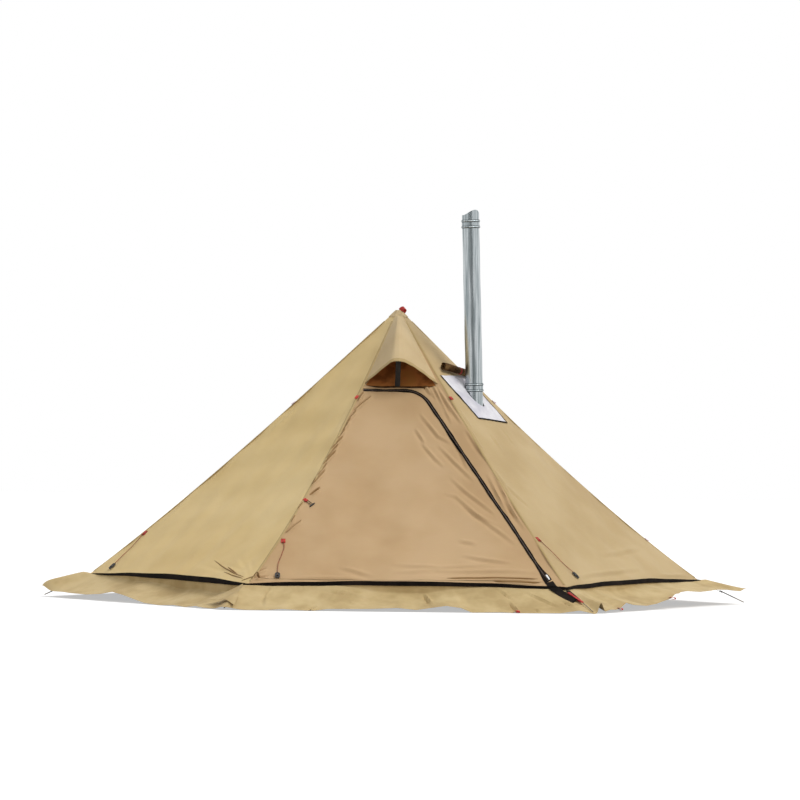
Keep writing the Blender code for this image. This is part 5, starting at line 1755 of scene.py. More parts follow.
@dataclass
class Flue:
    """The rolled foil pipe with its lap seam, and its two beaded sleeves."""

    foot: Spot = (0.41348, -0.225, 0.37183)
    lean: float = math.radians(1.95)
    length: float = 1.64412
    radius: float = 0.045
    wall: float = 0.0008
    lip_rise: float = 0.026
    lap_turn: float = math.radians(-97)
    lap: float = math.radians(34)
    lap_lift: float = 0.0011
    damper_height: float = 0.330
    spindle_radius: float = 0.0031
    band_height: float = 0.042
    bead_radius: float = 0.0038
    line_height: float = 0.0026
    bead_spacing: float = 0.031
    band_places: tuple[tuple[str, float], ...] = (("top", 1.57612), ("jack", 0.726604))

    @property
    def matrix(self) -> Matrix:
        """The pipe's own frame, with Z along it."""
        return Matrix.Translation(self.foot) @ Matrix.Rotation(-self.lean, 4, "Y")

    def build(self) -> None:
        """Makes the pipe and its sleeves."""
        turns = np.linspace(0.0, math.tau + self.lap, 133)
        low, high = self.damper_height - 0.01, self.damper_height + 0.01
        under, over = self.damper_height - 0.012, self.damper_height + 0.012
        parts = ((0.0, under, 14), (low, high, 15), (over, self.length, 60))
        heights = np.concatenate([np.linspace(*part) for part in parts])
        turn, height = np.meshgrid(turns, heights)
        places = np.stack((turn.ravel() * self.radius, height.ravel()), -1)
        faces = quads(len(heights), len(turns))
        for angle in (0.0, math.pi):
            around = (angle - self.lap_turn) % math.tau
            ring = circle(24)
            hole = np.stack((np.cos(ring), np.sin(ring)), -1) * self.spindle_radius
            for extra in (0.0, math.tau):
                middle = np.array(((around + extra) * self.radius, self.damper_height))
                if middle[0] < places[:, 0].max() + self.spindle_radius:
                    faces = cut_faces(places, faces, hole + middle, False)
        turn = places[:, 0] / self.radius
        angle = turn + self.lap_turn
        # The outer end of the foil lies over its start and doesn't close up quite flat
        over = np.clip((turn - math.tau) / self.lap, 0.0, 1.0)
        radius = self.radius - 0.0016 + 0.0010 * smooth_step(turn / 0.8) + over * self.lap_lift
        top = self.lip_rise * np.clip(np.cos(angle + math.pi / 3), 0, None) ** 2
        height = places[:, 1] + top * smooth_step((places[:, 1] - self.length + 0.06) / 0.06)
        # Rolled foil keeps shallow flats and dents
        dent = 0.0005 * np.sin(height * 23 + 2 * angle) * np.sin(3 * angle + 1.3) * (1 - over)
        radius = radius + dent * smooth_step(height / 0.05)
        local = np.stack((np.cos(angle) * radius, np.sin(angle) * radius, height), -1)
        pipe = shell("rolled_flue_pipe", placed(self.matrix, local), faces, self.wall, places)
        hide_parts("stove_pipe")
        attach(dress(pipe, PALETTE.flue_steel), "flue")
        for name, base in self.band_places:
            self.build_sleeve(name, base)
        dress(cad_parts["damper"], PALETTE.stove_sheet)

    def build_sleeve(self, name: str, base: float) -> None:
        """Makes a sleeve with two rolled beads.

        Args:
            name: Which one it is.
            base: Its lower edge along the pipe.
        """
        inner = self.radius + 0.0003
        outer = inner + 0.001
        middle = self.band_height / 2
        profile = [(outer, self.band_height)]
        for bead in (middle + self.bead_spacing / 2, middle - self.bead_spacing / 2):
            for angle in np.linspace(math.pi / 2, -math.pi / 2, 9):
                wide, high = self.bead_radius * math.cos(angle), self.bead_radius * math.sin(angle)
                profile.append((outer + wide, bead + high))
        profile += [(outer, 0.0), (inner, 0.0), (inner, self.band_height)]
        sleeve = lathe(f"beaded_sleeve_{name}", profile, self.matrix @ Matrix.Translation((0, 0, base)))
        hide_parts(f"pipe_band_{name}")
        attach(dress(sleeve, PALETTE.flue_steel), "flue")
        # Dark rings in the crimps beside each bead: painted shade
        for number, place in enumerate((middle - self.bead_spacing / 2, middle + self.bead_spacing / 2)):
            for side, sign in (("under", -1), ("over", 1)):
                low = place + sign * (self.bead_radius + self.line_height / 2) - self.line_height / 2
                line = [(outer + 0.0007, low + self.line_height), (outer + 0.0007, low), (inner, low)]
                line.append((inner, low + self.line_height))
                ring = lathe(
                    f"crimp_{side}_bead_{name}_{number}", line, self.matrix @ Matrix.Translation((0, 0, base))
                )
                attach(dress(ring, PALETTE.crimp_shade_steel), "flue")


@dataclass
class Walls:
    """The canopy's cloth: five walls, the fixed front, the door, the ridge seams and the hem webbing."""

    hinge_point: Spot = (-0.8, -1.38564, 0.12)
    hinge_away: Spot = (0.9266, -0.2628, -0.2674)
    blend_reach: tuple[float, float] = (0.022, 0.045)
    wall_flat: Place = (1.60, 1.98)
    wall_area: float = 1.55
    rear_grid: tuple[int, int] = (120, 170)
    # Columns, rows and how much finer the grid is at the front ridges
    grids: dict[int, tuple[int, int, float]] = field(default_factory=lambda: {
        FRONT: (176, 256, 2.5), FRONT_LEFT: (150, 200, -2.5), FRONT_RIGHT: (140, 200, 1.5),
    })
    # Tucks where the door's cloth is drawn up: half their width and their height
    tuck_size: Place = (0.0046, 0.0110)
    low_tuck_size: Place = (0.0024, 0.0042)
    seam_width: float = 0.008
    seam_lift: float = 0.0008
    hem_band: float = 0.025
    hem_lift: float = 0.0009
    hem_thickness: float = 0.0020
    # How much of the webbing shows along each side: thousandths along it and of its width, by turns
    hem_shown: Lines = (
        (0, 500, 100, 750, 500, 950, 800, 700, 1000, 500), (0, 500, 120, 900, 600, 950, 1000, 400),
        (0, 400, 300, 900, 1000, 900), (0, 900, 1000, 900), (0, 900, 700, 800, 1000, 180),
        (0, 180, 160, 500, 500, 1100, 800, 1150, 1000, 500),

    )

    def build(self, sides: Sequence[Side], zipper: Zip, vent: Vent, jack: StoveJack) -> None:
        """Makes all pieces of the canopy's cloth.

        Args:
            sides: The six sides.
            zipper: The zip, which divides the front.
            vent: The vent, which has its opening in the front.
            jack: The stove jack, which has its hole in the right front side.
        """
        for side in sides[1:]:
            cut = ClothCut(side, *self.grids.get(side.index, self.rear_grid))
            if side.index == FRONT_RIGHT:
                cut.cut(jack.hole(side, jack.wall_clearance), False)
            name = SIDE_NAMES[side.index]
            wall = cut.piece(f"wall_of_{name}")
            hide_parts(f"wall_{name}")
            # The left wall and the other walls get lit and shaded copies of one cloth: painted light and
            # shade
            cloth = PALETTE.canopy if side.index == FRONT_LEFT else PALETTE.shaded_right_cloth
            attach(dress(wall, cloth), "canopy")
        front = sides[FRONT]
        whole = ClothCut(front, *self.grids[FRONT])
        panel = deepcopy(whole).cut(zipper.doorway(0.0012), False).cut(np.array(vent.opening), False)
        fixed = panel.piece("fixed_front_panel")
        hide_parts("front_panel")
        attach(dress(fixed, PALETTE.front_cloth_painted_tone), "canopy")
        door = whole.cut(zipper.doorway(0.0), True).piece("door_cloth")
        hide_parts("door_flap")
        dress(door, PALETTE.front_cloth_painted_tone)
        for piece in [door, self.build_tucks("tucks_of_door", front, DOOR_TUCKS), *zipper.build(front)]:
            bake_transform(piece)
        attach(self.build_tucks("tucks_of_left_wall", sides[FRONT_LEFT], LEFT_TUCKS), "canopy")
        for corner in range(6):
            self.build_seam(sides, corner)
        self.build_hem()

    def build_tucks(self, name: str, side: Side, lines: Lines) -> Piece:
        """Makes the small standing tucks of a side's cloth, as one thin piece.

        Args:
            name: The piece's name.
            side: The side.
            lines: A line on the side for each tuck.

        Returns:
            The new object.
        """
        half, height = self.tuck_size if side.index == FRONT else self.low_tuck_size
        steps, across = 16, np.array((-1.0, -0.45, 0.0, 0.45, 1.0))
        shape = np.array((0.0, 0.6, 1.0, 0.6, 0.0))
        points, faces, flat = [], [], []
        for line in lines:
            path = smooth_path(pairs(line), steps)
            share = np.linspace(0.0, 1.0, len(path))
            taper = 0.12 + 0.88 * np.sin(np.pi * share) ** 0.5
            places = np.stack([moved_left(path, half * taper * place) for place in across], 1)
            lift = 0.0006 + height * (taper - 0.12)[:, None] * shape
            grid = quads(len(path), len(across)) + sum(len(part) for part in points)
            points.append(side.points(places.reshape(-1, 2), lift.ravel()))
            faces.append(grid[:, ::-1])
            flat.append(places.reshape(-1, 2))
        piece = shell(name, np.concatenate(points), np.concatenate(faces), 0.0005, np.concatenate(flat))
        # The tucks' cloth is darker than the rest: painted shade on the folds
        return dress(piece, PALETTE.shaded_tuck_cloth)

    def build_seam(self, sides: Sequence[Side], corner: int) -> None:
        """Makes the felled seam along a ridge, drawn up a little by its thread.

        Args:
            sides: The six sides.
            corner: The ridge's corner.
        """
        rise = np.linspace(0.012, 0.95, 420)
        spine = CANOPY.ridge(corner, rise)
        before, after = sides[(corner - 1) % 6], sides[corner]
        back = unit(CANOPY.ridge(corner - 1, rise) - spine)
        ahead = unit(CANOPY.ridge(corner + 1, rise) - spine)
        draw = np.random.default_rng(90 + corner)
        pucker = np.interp(rise, np.linspace(0, 1, 160), draw.uniform(-0.5, 0.5, 160)) * 0.0012
        out = unit(before.normal + after.normal)
        width, lift = self.seam_width, self.seam_lift
        first, last = (
            [spine + way * width + side.normal * lift,
             spine + way * width * 0.55 + side.normal * (lift + 0.0004) + out * pucker[:, None],
             spine + way * width * 0.15 + side.normal * lift * 0.5 + out * 0.0012]
            for way, side in ((back, before), (ahead, after))
        )
        rows = first + last[::-1]
        uv = strip_map(rise * 2.0, np.linspace(0, 2 * width, len(rows)))
        faces = quads(len(rise), len(rows))[:, ::-1]
        points = np.stack(rows, 1).reshape(-1, 3)
        seam = shell(f"ridge_seam_{CORNER_NAMES[corner]}", points, faces, 0.0010, uv)
        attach(dress(seam, PALETTE.seam), "canopy")

    def build_hem(self) -> None:
        """Makes the dark webbing round the hem, a little wavy as it is sewn by hand."""
        shares = np.linspace(0.0, 1.0, 101)[:-1]
        rows = np.linspace(0.5, -0.5, 6)
        draw = np.random.default_rng(7)
        rings = []
        for side in range(6):
            heading = CANOPY.side_heading(side)
            out = heading + np.cross(UP, heading) * (math.tan(math.pi / 6) * (2 * shares - 1))[:, None]
            line = CANOPY.hem(side, shares)
            window = off_ends(shares, 0.08)
            waves = draw.uniform(-1, 1, 5)
            shown = np.interp(shares, *pairs(self.hem_shown[side]).T)
            sway = sum(w * np.sin((k + 2) * math.pi * shares * 2 + w) for k, w in enumerate(waves))
            sway = sway * 0.0011 * window
            rings.append(np.stack([
                line + out * (self.hem_lift + self.hem_thickness + 0.0006 * (1 - (2 * row) ** 2))
                + UP * (row * self.hem_band * shown + sway)[:, None]
                for row in rows
            ], 1))
        grid = np.concatenate(rings)
        faces = quads(len(grid), len(rows), loop=True)[:, ::-1]
        uv = strip_map(np.arange(len(grid)) * 0.016, (0.5 - rows) * self.hem_band)
        hem = shell("webbing_of_hem", grid.reshape(-1, 3), faces, 0.0016, uv)
        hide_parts("hem_webbing")
        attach(dress(hem, PALETTE.black_webbing), "canopy")


@dataclass
class SnowSkirt:
    """The skirt sewn under the hem, with its folds, corner loops and pegs."""

    width: float = 0.210
    lift: float = 0.0018
    hem_band: float = 0.025
    edge_height: float = 0.0022
    fold: float = 0.020
    folds: int = 5
    thickness: float = 0.0010
    columns: int = 216
    rows: int = 24
    loop_width: float = 0.025
    loop_length: float = 0.120
    loop_fold: tuple[Place, ...] = (
        (0.0, 0.0), (0.5, 0.0003), (0.86, 0.0004), (0.985, 0.0002), (1.0, -0.0006), (0.985, -0.0014)
    )
    steepness: float = 0.35
    cover: float = 0.015
    covered: tuple[int, ...] = (0, 2, 3, 4, 5)
    # How far each side's edge is off the ground: thousandths along it and millimetres, by turns
    edge_rise: Lines = (
        (0, 0, 120, 2, 160, 8, 200, 3, 240, 0, 280, 10, 400, 13, 470, 19, 520, 10, 560, 21, 600, 32, 640, 22,
         670, 0, 750, 3, 800, 0, 910, 2, 960, 16, 1000, 0),
        (0, 0, 16, 2, 36, 52, 46, 50, 66, 8, 100, 16, 130, 14, 160, 18, 200, 46, 250, 32, 330, 24, 400, 30,
         460, 50, 520, 75, 600, 86, 680, 78, 740, 80, 800, 84, 880, 80, 950, 68, 1000, 66),
        (0, 66, 100, 74, 220, 70, 340, 56, 460, 40, 580, 26, 700, 8, 850, 14, 1000, 0),
        (0, 0, 150, 14, 300, 2, 480, 20, 620, 4, 800, 18, 1000, 0),
        (0, 0, 180, 16, 350, 3, 520, 20, 680, 6, 850, 24, 1000, 42),
        (0, 42, 50, 30, 120, 31, 250, 26, 330, 34, 400, 50, 460, 38, 520, 21, 580, 5, 660, 0, 740, 6, 800, 0,
         860, 10, 930, 2, 1000, 0),

    )
    # How much of the skirt hangs straight down before it spreads: thousandths along it and of it, by turns
    tuck: Lines = (
        (0, 0, 80, 40, 280, 30, 360, 200, 460, 420, 560, 400, 660, 160, 740, 40, 1000, 0),
        (0, 0, 100, 180, 300, 360, 600, 340, 850, 160, 1000, 0),
        (0, 0, 200, 150, 800, 150, 1000, 0),
        (0, 0, 200, 150, 800, 150, 1000, 0),
        (0, 0, 200, 150, 800, 100, 1000, 0),
        (0, 0, 120, 80, 320, 320, 550, 420, 850, 440, 950, 300, 1000, 0),

    )
    creases: tuple[Crease, ...] = (
        Crease((370, 53, 533, 93, 639, 140, 700, 160), -0.0100, 0.0063),
        Crease((411, 193, 386, 240), -0.0137, 0.0054), Crease((553, 173, 594, 200), -0.0088, 0.0054),
        Crease((931, 107, 954, 213), -0.0150, 0.0072), Crease((893, 40, 913, 80, 1000, 53), -0.0100, 0.0072),
        Crease((1319, 20, 1375, 120), -0.0100, 0.0059),
        Crease((1345, 133, 1350, 213, 1319, 240), -0.0112, 0.0059),
        Crease((1461, 53, 1568, 187), -0.0125, 0.0063), Crease((1441, 200, 1456, 240), -0.0100, 0.0054),
        Crease((1609, 133, 1629, 187), -0.0100, 0.0059),
        Crease((129, 27, 132, 133, 173, 213), -0.0088, 0.0059),
    )
    tip_puff: float = 0.024
    flat_size: Place = (1.7, 0.24)
    # Small red loops at the edge, for pegs between the corners
    edge_loops: tuple[tuple[int, float], ...] = ((0, 0.79), (1, 0.155), (1, 0.475))
    edge_loop_size: Place = (0.016, 0.022)
    edge_loop_fold: tuple[Place, ...] = (
        (-0.5, 0.0035), (0.3, 0.0030), (0.9, 0.0015), (1.05, -0.003), (0.8, -0.006), (0.1, -0.004)
    )
    tail_width: float = 0.042

    def surface(self, side: int, share: Array, drop: Array) -> Array:
        """Points of a side's skirt.

        Args:
            side: The side.
            share: Shares along it.
            drop: Shares from the hem to the edge.

        Returns:
            One point a place.
        """
        heading = CANOPY.side_heading(side)
        run = np.cross(UP, heading)
        top = CANOPY.hem(side, share)
        out = heading + run * (math.tan(math.pi / 6) * (2 * share - 1))[:, None]
        inner = off_ends(share, 0.09)
        ends = ((side, share), ((side + 1) % 6, 1 - share))
        open_end = sum(np.exp(-(end / 0.05) ** 2) * (corner not in self.covered) for corner, end in ends)
        top_height = top[:, 2] - 0.0015 - (self.hem_band / 2 - 0.0015) * open_end
        big = np.sin(np.pi * self.folds * share) ** 2 * (0.6 + 0.4 * np.cos(3 * np.pi * share))
        draw = np.random.default_rng(200 + side)
        window = off_ends(share, 0.06)
        small = np.zeros_like(share)
        reach = np.zeros_like(share)
        for _ in range(9):
            middle, size, height, lean = draw.uniform((0.05, 0.010, -0.5, -0.03), (0.95, 0.035, 1.0, 0.03))
            shape = np.exp(-((share - middle - lean * drop) / size) ** 2)
            small += height * shape * 0.011
            reach += draw.uniform(-1, 1) * shape * 0.012
        height = self.edge_height + (top_height - self.edge_height) * (1 - drop) ** 1.12
        # The folds that don't reach the ground run out before the edge
        rise = self.fold * big + np.maximum(small, -0.3 * self.fold * big)
        height = height + rise * drop * (1 - drop) * window * 1.6
        height = height + np.interp(share, *pairs(self.edge_rise[side]).T) * drop ** 0.9
        for corner, end in ends:
            if corner in self.covered:
                height = height + self.cover * np.exp(-(end / 0.035) ** 2) * smooth_step(drop / 0.12)
        for end in ((share,) if side == FRONT_LEFT else (1 - share,) if side == REAR_LEFT else ()):
            height = height + self.tip_puff * np.exp(-(end / 0.06) ** 2) * drop ** 0.5 * (1 - drop ** 14)
        if side == FRONT:
            spots = np.stack((share, drop), -1) * self.flat_size
            height = height + sum(crease.lift(spots) for crease in self.creases)
        height = np.maximum(height, self.edge_height)
        tuck = np.interp(share, *pairs(self.tuck[side]).T) * inner
        flare = np.clip((drop - tuck) / (1 - tuck), 0.0, 1.0) ** (1 + self.steepness * inner)
        level = self.lift * (1 - 0.7 * inner * (1 - drop)) + self.width * flare + reach * drop ** 2 * window
        point = top + out * level[:, None]
        point[:, 2] = height
        return point

    def build(self) -> None:
        """Makes the six skirt pieces, the loops and the pegs' finish."""
        for side, name in enumerate(SIDE_NAMES):
            share, drop = even_shares(self.columns + 1, self.rows + 1)
            points = self.surface(side, share, drop)
            uv = np.stack((share, drop), -1) * self.flat_size
            faces = quads(self.rows + 1, self.columns + 1)[:, ::-1]
            piece = shell(f"skirt_of_{name}", points, faces, self.thickness, uv)
            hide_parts(f"skirt_{name}")
            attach(dress(piece, PALETTE.skirt), "canopy")
        for corner, name in enumerate(CORNER_NAMES):
            self.build_loop(corner, name)
            dress(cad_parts[f"peg_{name}"], PALETTE.peg_wire)
        for number, (side, share) in enumerate(self.edge_loops):
            self.build_edge_loop(side, share, number)
        self.build_zip_tail()
        self.build_turned_corner()

    def spot(self, side: int, share: float, drop: float) -> Array:
        """One point of a side's skirt."""
        return self.surface(side, np.array((share,)), np.array((drop,)))[0]

    def build_edge_loop(self, side: int, share: float, number: int) -> None:
        """Makes a small red loop that hangs out under the skirt's edge.

        Args:
            side: The side.
            share: Where along it.
            number: The loop's number.
        """
        edge, inner = self.spot(side, share, 1.0), self.spot(side, share, 0.9)
        out = unit((edge - inner) * np.array((1.0, 1.0, 0.0)))
        run = np.cross(UP, CANOPY.side_heading(side))
        width, length = self.edge_loop_size
        base = np.array((edge[0], edge[1], max(edge[2], 0.0105)))
        path = smooth_path([base + out * length * a + UP * b for a, b in self.edge_loop_fold], 24)
        loop = strap(f"edge_loop_{number}", path, run, width, 0.0014)
        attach(dress(loop, PALETTE.red_webbing), "canopy")

    def build_zip_tail(self) -> None:
        """Makes the wide webbing from the zip's foot over the hem, and the red loop at its end."""
        hem = CANOPY.hem(0, np.array((0.957,)))[0]
        out = CANOPY.side_heading(0)
        start = [np.array((0.7115, -1.3580, 0.1490)), np.array((0.7230, -1.3790, 0.1325)), hem + out * 0.0062]
        skirt = ((0.966, 0.18), (0.974, 0.34), (0.984, 0.50))
        path = smooth_path(start + [self.spot(0, *place) + out * 0.004 + UP * 0.005 for place in skirt], 36)
        ahead = unit(np.gradient(path, axis=0))
        across = unit(np.cross(ahead, out * 0.7 + UP * 0.7))
        tail = strap("webbing_at_zip_foot", path, across, self.tail_width, 0.0014, 6)
        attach(dress(tail, PALETTE.black_webbing), "canopy")
        knots = [self.spot(0, 0.988, 0.20) + UP * 0.011 + out * 0.006]
        knots += [self.spot(0, share, drop) + UP * 0.009 for share, drop in ((0.992, 0.36), (0.998, 0.56))]
        knots += [knots[-1] + UP * 0.006 + out * 0.003, knots[1] + UP * 0.006, knots[0] + UP * 0.005]
        path = smooth_path(knots, 36)
        loop = strap("red_loop_at_zip_foot", path, np.cross(UP, CANOPY.corner_heading(1)), 0.015, 0.0013)
        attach(dress(loop, PALETTE.red_webbing), "canopy")

    def build_turned_corner(self) -> None:
        """Makes the skirt's corner that lies folded back on itself at the front left."""
        top = self.spot(5, 0.982, 0.05) + UP * 0.004
        left, right = self.spot(5, 0.895, 0.86), self.spot(0, 0.03, 0.99)
        over, down = even_shares(23, 23)
        rise = 0.030 * down ** 1.4 * (0.55 + 0.45 * np.sin(np.pi * over)) + 0.004
        rise = rise + 0.0035 * np.sin(9 * over + 2 * down) * down
        points = top + (left + (right - left) * over[:, None] - top) * down[:, None] + UP * rise[:, None]
        points[:, 1] -= 0.010 * down
        uv = np.stack((points[:, 0], points[:, 1] * 0.7 - points[:, 2]), -1)
        fold = shell("turned_skirt_corner", points, quads(23, 23)[:, ::-1], self.thickness, uv)
        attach(dress(fold, PALETTE.skirt), "canopy")

    def build_loop(self, corner: int, name: str) -> None:
        """Makes a corner's peg loop, from the hem down over the skirt.

        Args:
            corner: Which corner.
            name: Its name.
        """
        out = CANOPY.corner_heading(corner)
        level = np.array((0.0, 1.0)) * self.width / math.cos(math.pi / 6)
        base = CANOPY.corner_radius + 0.0018 / math.cos(math.pi / 6)
        top_height = CANOPY.hem_height - self.hem_band / 2 - 0.0003
        ends = out * (base + level)[:, None] + UP * np.array((top_height, 0.002))[:, None]
        slope = unit(ends[1] - ends[0])
        across = np.cross(UP, out)
        normal = np.cross(slope, across)
        start = ends[0] + slope * 0.0026 + normal * 0.0022
        path = smooth_path([start + slope * self.loop_length * a + normal * b for a, b in self.loop_fold], 40)
        loop = strap(f"strap_of_{name}", path, across, self.loop_width, 0.0009, 6)
        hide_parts(f"corner_loop_{name}")
        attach(dress(loop, PALETTE.black_webbing), "canopy")


@dataclass
class Peak:
    """The stitched cap over the apex, and the red loop on it."""

    bottom: float = 0.965
    top: float = 0.990
    lift: float = 0.0032
    thickness: float = 0.0010
    loop_radius: float = 0.0185
    loop_width: float = 0.024
    loop_turn: float = math.radians(50)
    loop_lean: float = math.radians(50)

    def build(self) -> None:
        """Makes the cap and the loop."""
        shares = np.linspace(0.0, 1.0, 17)[:-1]
        levels = np.linspace(self.bottom, self.top, 12)
        rings = []
        for side in range(6):
            heading = CANOPY.side_heading(side)
            columns = []
            for level in levels:
                point = CANOPY.cloth(side, shares, np.full_like(shares, level))
                wave = 0.0005 * np.sin(shares * math.tau * 2 + side) * (self.top - level)
                wave = wave / (self.top - self.bottom)
                columns.append(point + UP * self.lift + heading * wave[:, None])
            rings.append(np.stack(columns, 1))
        grid = np.concatenate(rings)
        faces = quads(*grid.shape[:2], loop=True)
        reach = np.linalg.norm(grid[:, :1] - grid, axis=2)
        uv = np.stack((np.broadcast_to((np.arange(len(grid)) * 0.006)[:, None], reach.shape), reach), -1)
        cap = shell("cap_of_apex", grid.reshape(-1, 3), faces, self.thickness, uv.reshape(-1, 2))
        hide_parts("apex_cap")
        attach(dress(cap, PALETTE.lit_hood_cloth), "canopy")
        crown = CANOPY.hem_height + CANOPY.height * self.top + self.lift
        turn = np.linspace(-0.62, math.pi + 0.62, 40)
        rise = self.loop_radius * math.sin(0.62) - 0.003
        ring = np.stack((
            np.cos(turn) * self.loop_radius * 0.9, np.zeros_like(turn), rise + np.sin(turn) * self.loop_radius
        ), -1)
        # The loop has fallen over to the right and shows its broad face
        place = (
            Matrix.Translation((0.014, 0.0, crown - 0.006)) @ Matrix.Rotation(self.loop_lean, 4, "Y")
            @ Matrix.Rotation(self.loop_turn, 4, "Z")
        )
        across = np.array(place)[:3, 1]
        loop = strap("red_hanging_loop", placed(place, ring), across, self.loop_width, 0.0022)
        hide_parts("hang_loop")
        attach(dress(loop, PALETTE.red_webbing), "canopy")


@dataclass
class RidgeTabs:
    """The small red tabs in the ridge seams, and the elastic loop that holds the open door."""

    places: tuple[tuple[int, float], ...] = (
        (0, 0.672), (1, 0.672), (5, 0.647), (2, 0.66), (3, 0.66), (4, 0.66), (2, 0.155), (3, 0.155),
        (4, 0.155),
    )
    width: float = 0.016
    length: float = 0.024
    # A tab's side view: shares of its length, and how far it stands off the ridge
    fold: tuple[Place, ...] = (
        (0.0, 0.0022), (0.5, 0.0030), (0.92, 0.0046), (1.0, 0.0058), (0.92, 0.0070), (0.5, 0.0052),
        (0.0, 0.0036),
    )
    loop_rows: Lines = (
        (0.9998, 0.0152, -0.0142, -0.4821), (-0.0208, 0.7305, -0.6826, -0.9048),
        (0.0, 0.6828, 0.7306, 0.5249), (0.0, 0.0, 0.0, 1.0),
    )
    loop_size: Place = (0.015, 0.046)
    toggle: Place = (0.0035, 0.038)

    def build(self, sides: Sequence[Side]) -> None:
        """Makes the tabs and the loop.

        Args:
            sides: The six sides.
        """
        for number, (corner, rise) in enumerate(self.places):
            spots = CANOPY.ridge(corner, np.array((rise, rise - 0.01)))
            down = unit(spots[1] - spots[0])
            out = unit(sides[(corner - 1) % 6].normal + sides[corner].normal)
            across = np.cross(down, out)
            path = smooth_path([spots[0] + down * self.length * a + out * b for a, b in self.fold], 24)
            tab = strap(f"ridge_tab_{number}", path, across, self.width, 0.0011)
            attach(dress(tab, PALETTE.red_webbing), "canopy")
        self.build_tieback()

    def build_tieback(self) -> None:
        """Makes the elastic loop with its toggle and red tab."""
        matrix = Matrix(self.loop_rows) @ Matrix.Rotation(math.radians(45), 4, "Z")
        wide, long = self.loop_size
        radius = wide / 2 - 0.0015
        straight = long / 2 - wide / 2
        turn = circle(48)
        ring = np.stack((
            np.cos(turn) * radius, np.sin(turn) * radius + np.where(np.sin(turn) >= 0, straight, -straight),
            np.zeros_like(turn),
        ), -1)
        loop = tube("elastic_tie_loop", placed(matrix, ring), 0.0015, 10, ring=True)
        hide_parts("door_tieback")
        across, reach = self.toggle
        line = [(share * reach, -long / 2, 0.0) for share in np.linspace(-0.5, 0.5, 13)]
        radii = across * np.sqrt(np.clip(1 - np.abs(np.linspace(-1, 1, 13)) ** 6, 0.12, 1))
        bar = tube("toggle_of_tie", placed(matrix, line), radii, 14)
        fold = (
            (0.014, 0.0), (0.0, 0.0006), (-0.006, 0.002), (-0.008, -0.001), (-0.002, -0.0022), (0.014, -0.002)
        )
        path = smooth_path(placed(matrix, [(0.0, long / 2 + along, up) for along, up in fold]), 20)
        tab = strap("tab_of_tie", path, np.array(matrix)[:3, 0], 0.018, 0.0009)
        dress(loop, PALETTE.black_webbing)
        dress(bar, PALETTE.nylon)
        dress(tab, PALETTE.red_webbing)
        for piece in (loop, bar, tab):
            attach(piece, "door")


@dataclass
class Hardware:
    """The rigid CAD pieces that stay as they are: the pole and the stove."""

    pole: tuple[str, ...] = ("pole_lower", "pole_upper")
    stove: tuple[str, ...] = ("stove_body", "stove_door", "stove_air_slide")
    wire: tuple[str, ...] = ("stove_leg_front", "stove_leg_rear", "stove_latch")

    def dress(self) -> None:
        """Gives each piece its finish."""
        for names, finish in ((self.pole, PALETTE.pole_tube), (self.stove, PALETTE.stove_sheet)):
            for name in names:
                dress(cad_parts[name], finish)
        for name in self.wire:
            dress(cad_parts[name], PALETTE.peg_wire)
        dress(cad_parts["pole_foot"], PALETTE.rubber)


# Creases and tucks as they lie on each side: millimetres along it and up, by turns


def folds(depth: float, width: float, *lines: Line) -> list[Crease]:
    """Creases of one depth and width."""
    return [Crease(line, depth, width) for line in lines]


# Tucks of the door's cloth: at the left ridge, and long ones over the hem
DOOR_TUCKS: Lines = (
    (-244, 997, -154, 1068), (-302, 898, -262, 950), (-368, 792, -303, 861), (-412, 712, -340, 785),
    (-466, 612, -398, 688), (-479, 562, -425, 602), (-576, 424, -553, 462), (-604, 372, -522, 437),
    (-222, 1044, -192, 1088), (-278, 940, -232, 994), (-335, 845, -290, 897), (-392, 745, -328, 817),
    (-442, 655, -388, 718), (-490, 598, -446, 652), (-550, 486, -512, 526),
    (200, 162, 300, 165.5, 450, 167.5, 655, 165), (430, 150, 665, 147), (-782, 142, -757, 180),
    (-750, 184, -732, 150),
)
LEFT_TUCKS: Lines = (
    (270, 223, 500, 180, 700, 152), (470, 171, 700, 146), (450, 197, 610, 165), (715, 134, 775, 163),
)


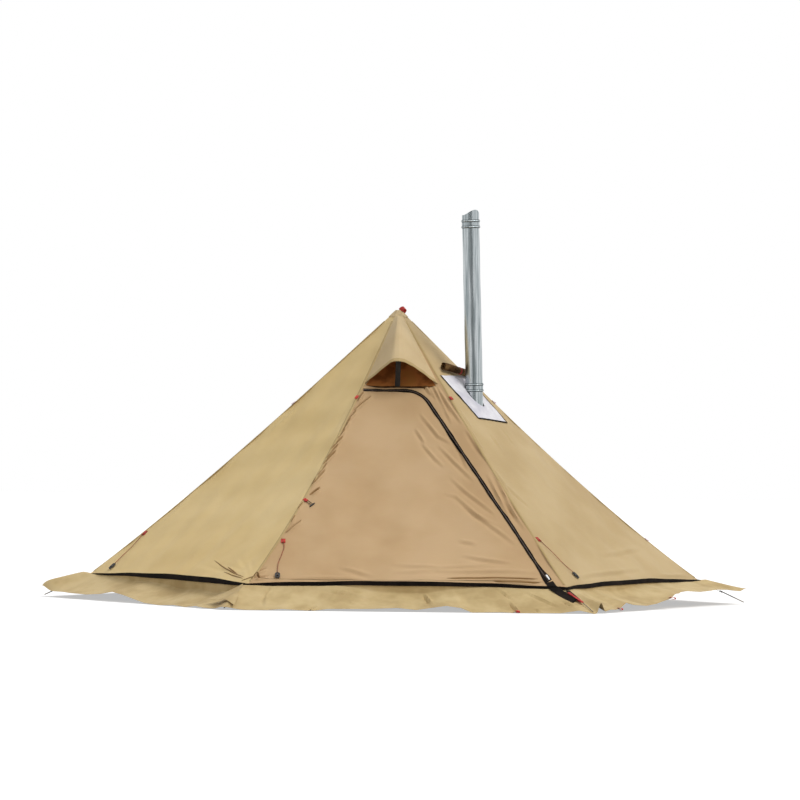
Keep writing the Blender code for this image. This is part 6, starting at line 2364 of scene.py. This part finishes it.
def front_creases() -> list[Crease]:
    """The front's creases: at the left ridge, from the vent's corner, and low ones at the hem.

    Returns:
        The creases.
    """
    left = folds(
        -0.0130, 0.0046,
        (-259, 985, -154, 1068), (-318, 876, -270, 941), (-381, 779, -303, 861), (-423, 698, -340, 785),
        (-478, 597, -398, 688), (-489, 552, -425, 597), (-585, 417, -559, 457), (-616, 367, -522, 437),
        (-232, 1035, -196, 1085), (-290, 930, -236, 990), (-345, 835, -292, 895), (-402, 735, -330, 815),
        (-452, 645, -392, 715), (-500, 590, -448, 650), (-560, 480, -520, 520), (-770, 170, -700, 205),
        (-780, 150, -690, 165),
    )
    right = folds(
        0.0070, 0.0072,
        (96, 979, 187, 868, 254, 833), (183, 824, 271, 729, 361, 642), (96, 838, 168, 751, 211, 713),
        (238, 661, 316, 589, 462, 474), (204, 580, 264, 566, 365, 473, 475, 415),
        (274, 277, 391, 257, 531, 240), (263, 349, 358, 335), (460, 694, 571, 441), (426, 678, 532, 460),
        (157, 1147, 258, 930), (201, 1093, 309, 930), (121, 1132, 163, 1072), (150, 1118, 196, 1030),
        (176, 1112, 230, 1000), (190, 1118, 262, 975), (330, 900, 420, 760), (365, 880, 450, 740),
        (500, 560, 610, 400), (235, 905, 300, 790, 330, 700), (70, 905, 120, 830),
        (300, 520, 420, 430, 560, 330),
    )
    low = folds(
        0.0060, 0.0090,
        (-95, 188, 126, 200, 422, 202, 678, 198), (-339, 212, -165, 172), (-640, 152, -420, 160, -200, 156),
        (-80, 225, 160, 215, 420, 232),
    ) + folds(
        -0.0110, 0.0048,
        (200, 160, 300, 163.5, 450, 165.5, 660, 163), (430, 148, 670, 145), (-790, 137, -757, 180),
        (-757, 182, -736, 146),
    )
    return left + right + low


def make_sides() -> list[Side]:
    """The six sides with their creases and smooth spots.

    Returns:
        The sides, in their order round the tent.
    """
    front = Side(FRONT, front_creases(), (
        (-616, 337, 50), (-629, 163, 50), (-482, 522, 50), (722, 150, 35), (-16, 1120, 50), (172, 1003, 60)
    ))
    front_right = Side(FRONT_RIGHT, folds(
        0.0068, 0.0095,
        (-324, 931, -376, 789), (-170, 870, -212, 804), (14, 924, -14, 819), (-595, 175, 182, 196),
        (-113, 270, 461, 294), (350, 160, 720, 150), (-260, 1010, -330, 880), (-440, 700, -520, 560),
        (-480, 640, -420, 520),
    ), ((-629, 355, 50), (-597, 176, 50), (24, 1075, 260)))
    front_left = Side(FRONT_LEFT, folds(
        0.0045, 0.016,
        (-218, 1016, -290, 858), (-375, 741, -497, 577), (-497, 577, -559, 377),
    ) + folds(
        -0.0014, 0.0080,
        (222, 438, 317, 522), (127, 202, 700, 160), (286, 217, 666, 180), (700, 137, 780, 185),
        (735, 135, 790, 165), (610, 205, 745, 150), (560, 240, 735, 175), (440, 250, 640, 190),
        (230, 990, 290, 880), (330, 800, 400, 690), (440, 620, 500, 540),
    ), ((-637, 337, 50), (-629, 163, 50)))
    rear = [
        Side(index, folds(
            0.0066, 0.0095,
            (-200, 1000, -310, 800), (180, 950, 100, 780), (300, 620, 470, 400), (-450, 300, 50, 330),
            (100, 190, 660, 180),
        ))
        for index in (REAR_RIGHT, REAR, REAR_LEFT)
    ]
    return [front, front_right, *rear, front_left]


def main() -> None:
    """Builds the studio and the tent, piece by piece."""
    logging.basicConfig(level=logging.INFO, format="%(name)s: %(message)s")
    Studio().build()
    log.info("studio ready")
    for point in GUY_POINTS:
        point.build()
        log.info("guy point %s", point.name)
    sides = make_sides()
    zipper, vent, jack = Zip(), Vent(), StoveJack()
    Walls().build(sides, zipper, vent, jack)
    log.info("walls, door and hem")
    vent.build(sides[FRONT])
    log.info("vent and hood")
    jack.build(sides[FRONT_RIGHT])
    Flue().build()
    log.info("stove jack and flue")
    SnowSkirt().build()
    Peak().build()
    RidgeTabs().build(sides)
    Hardware().dress()
    log.info("skirt, peak, tabs and hardware")


if __name__ == "__main__":
    main()
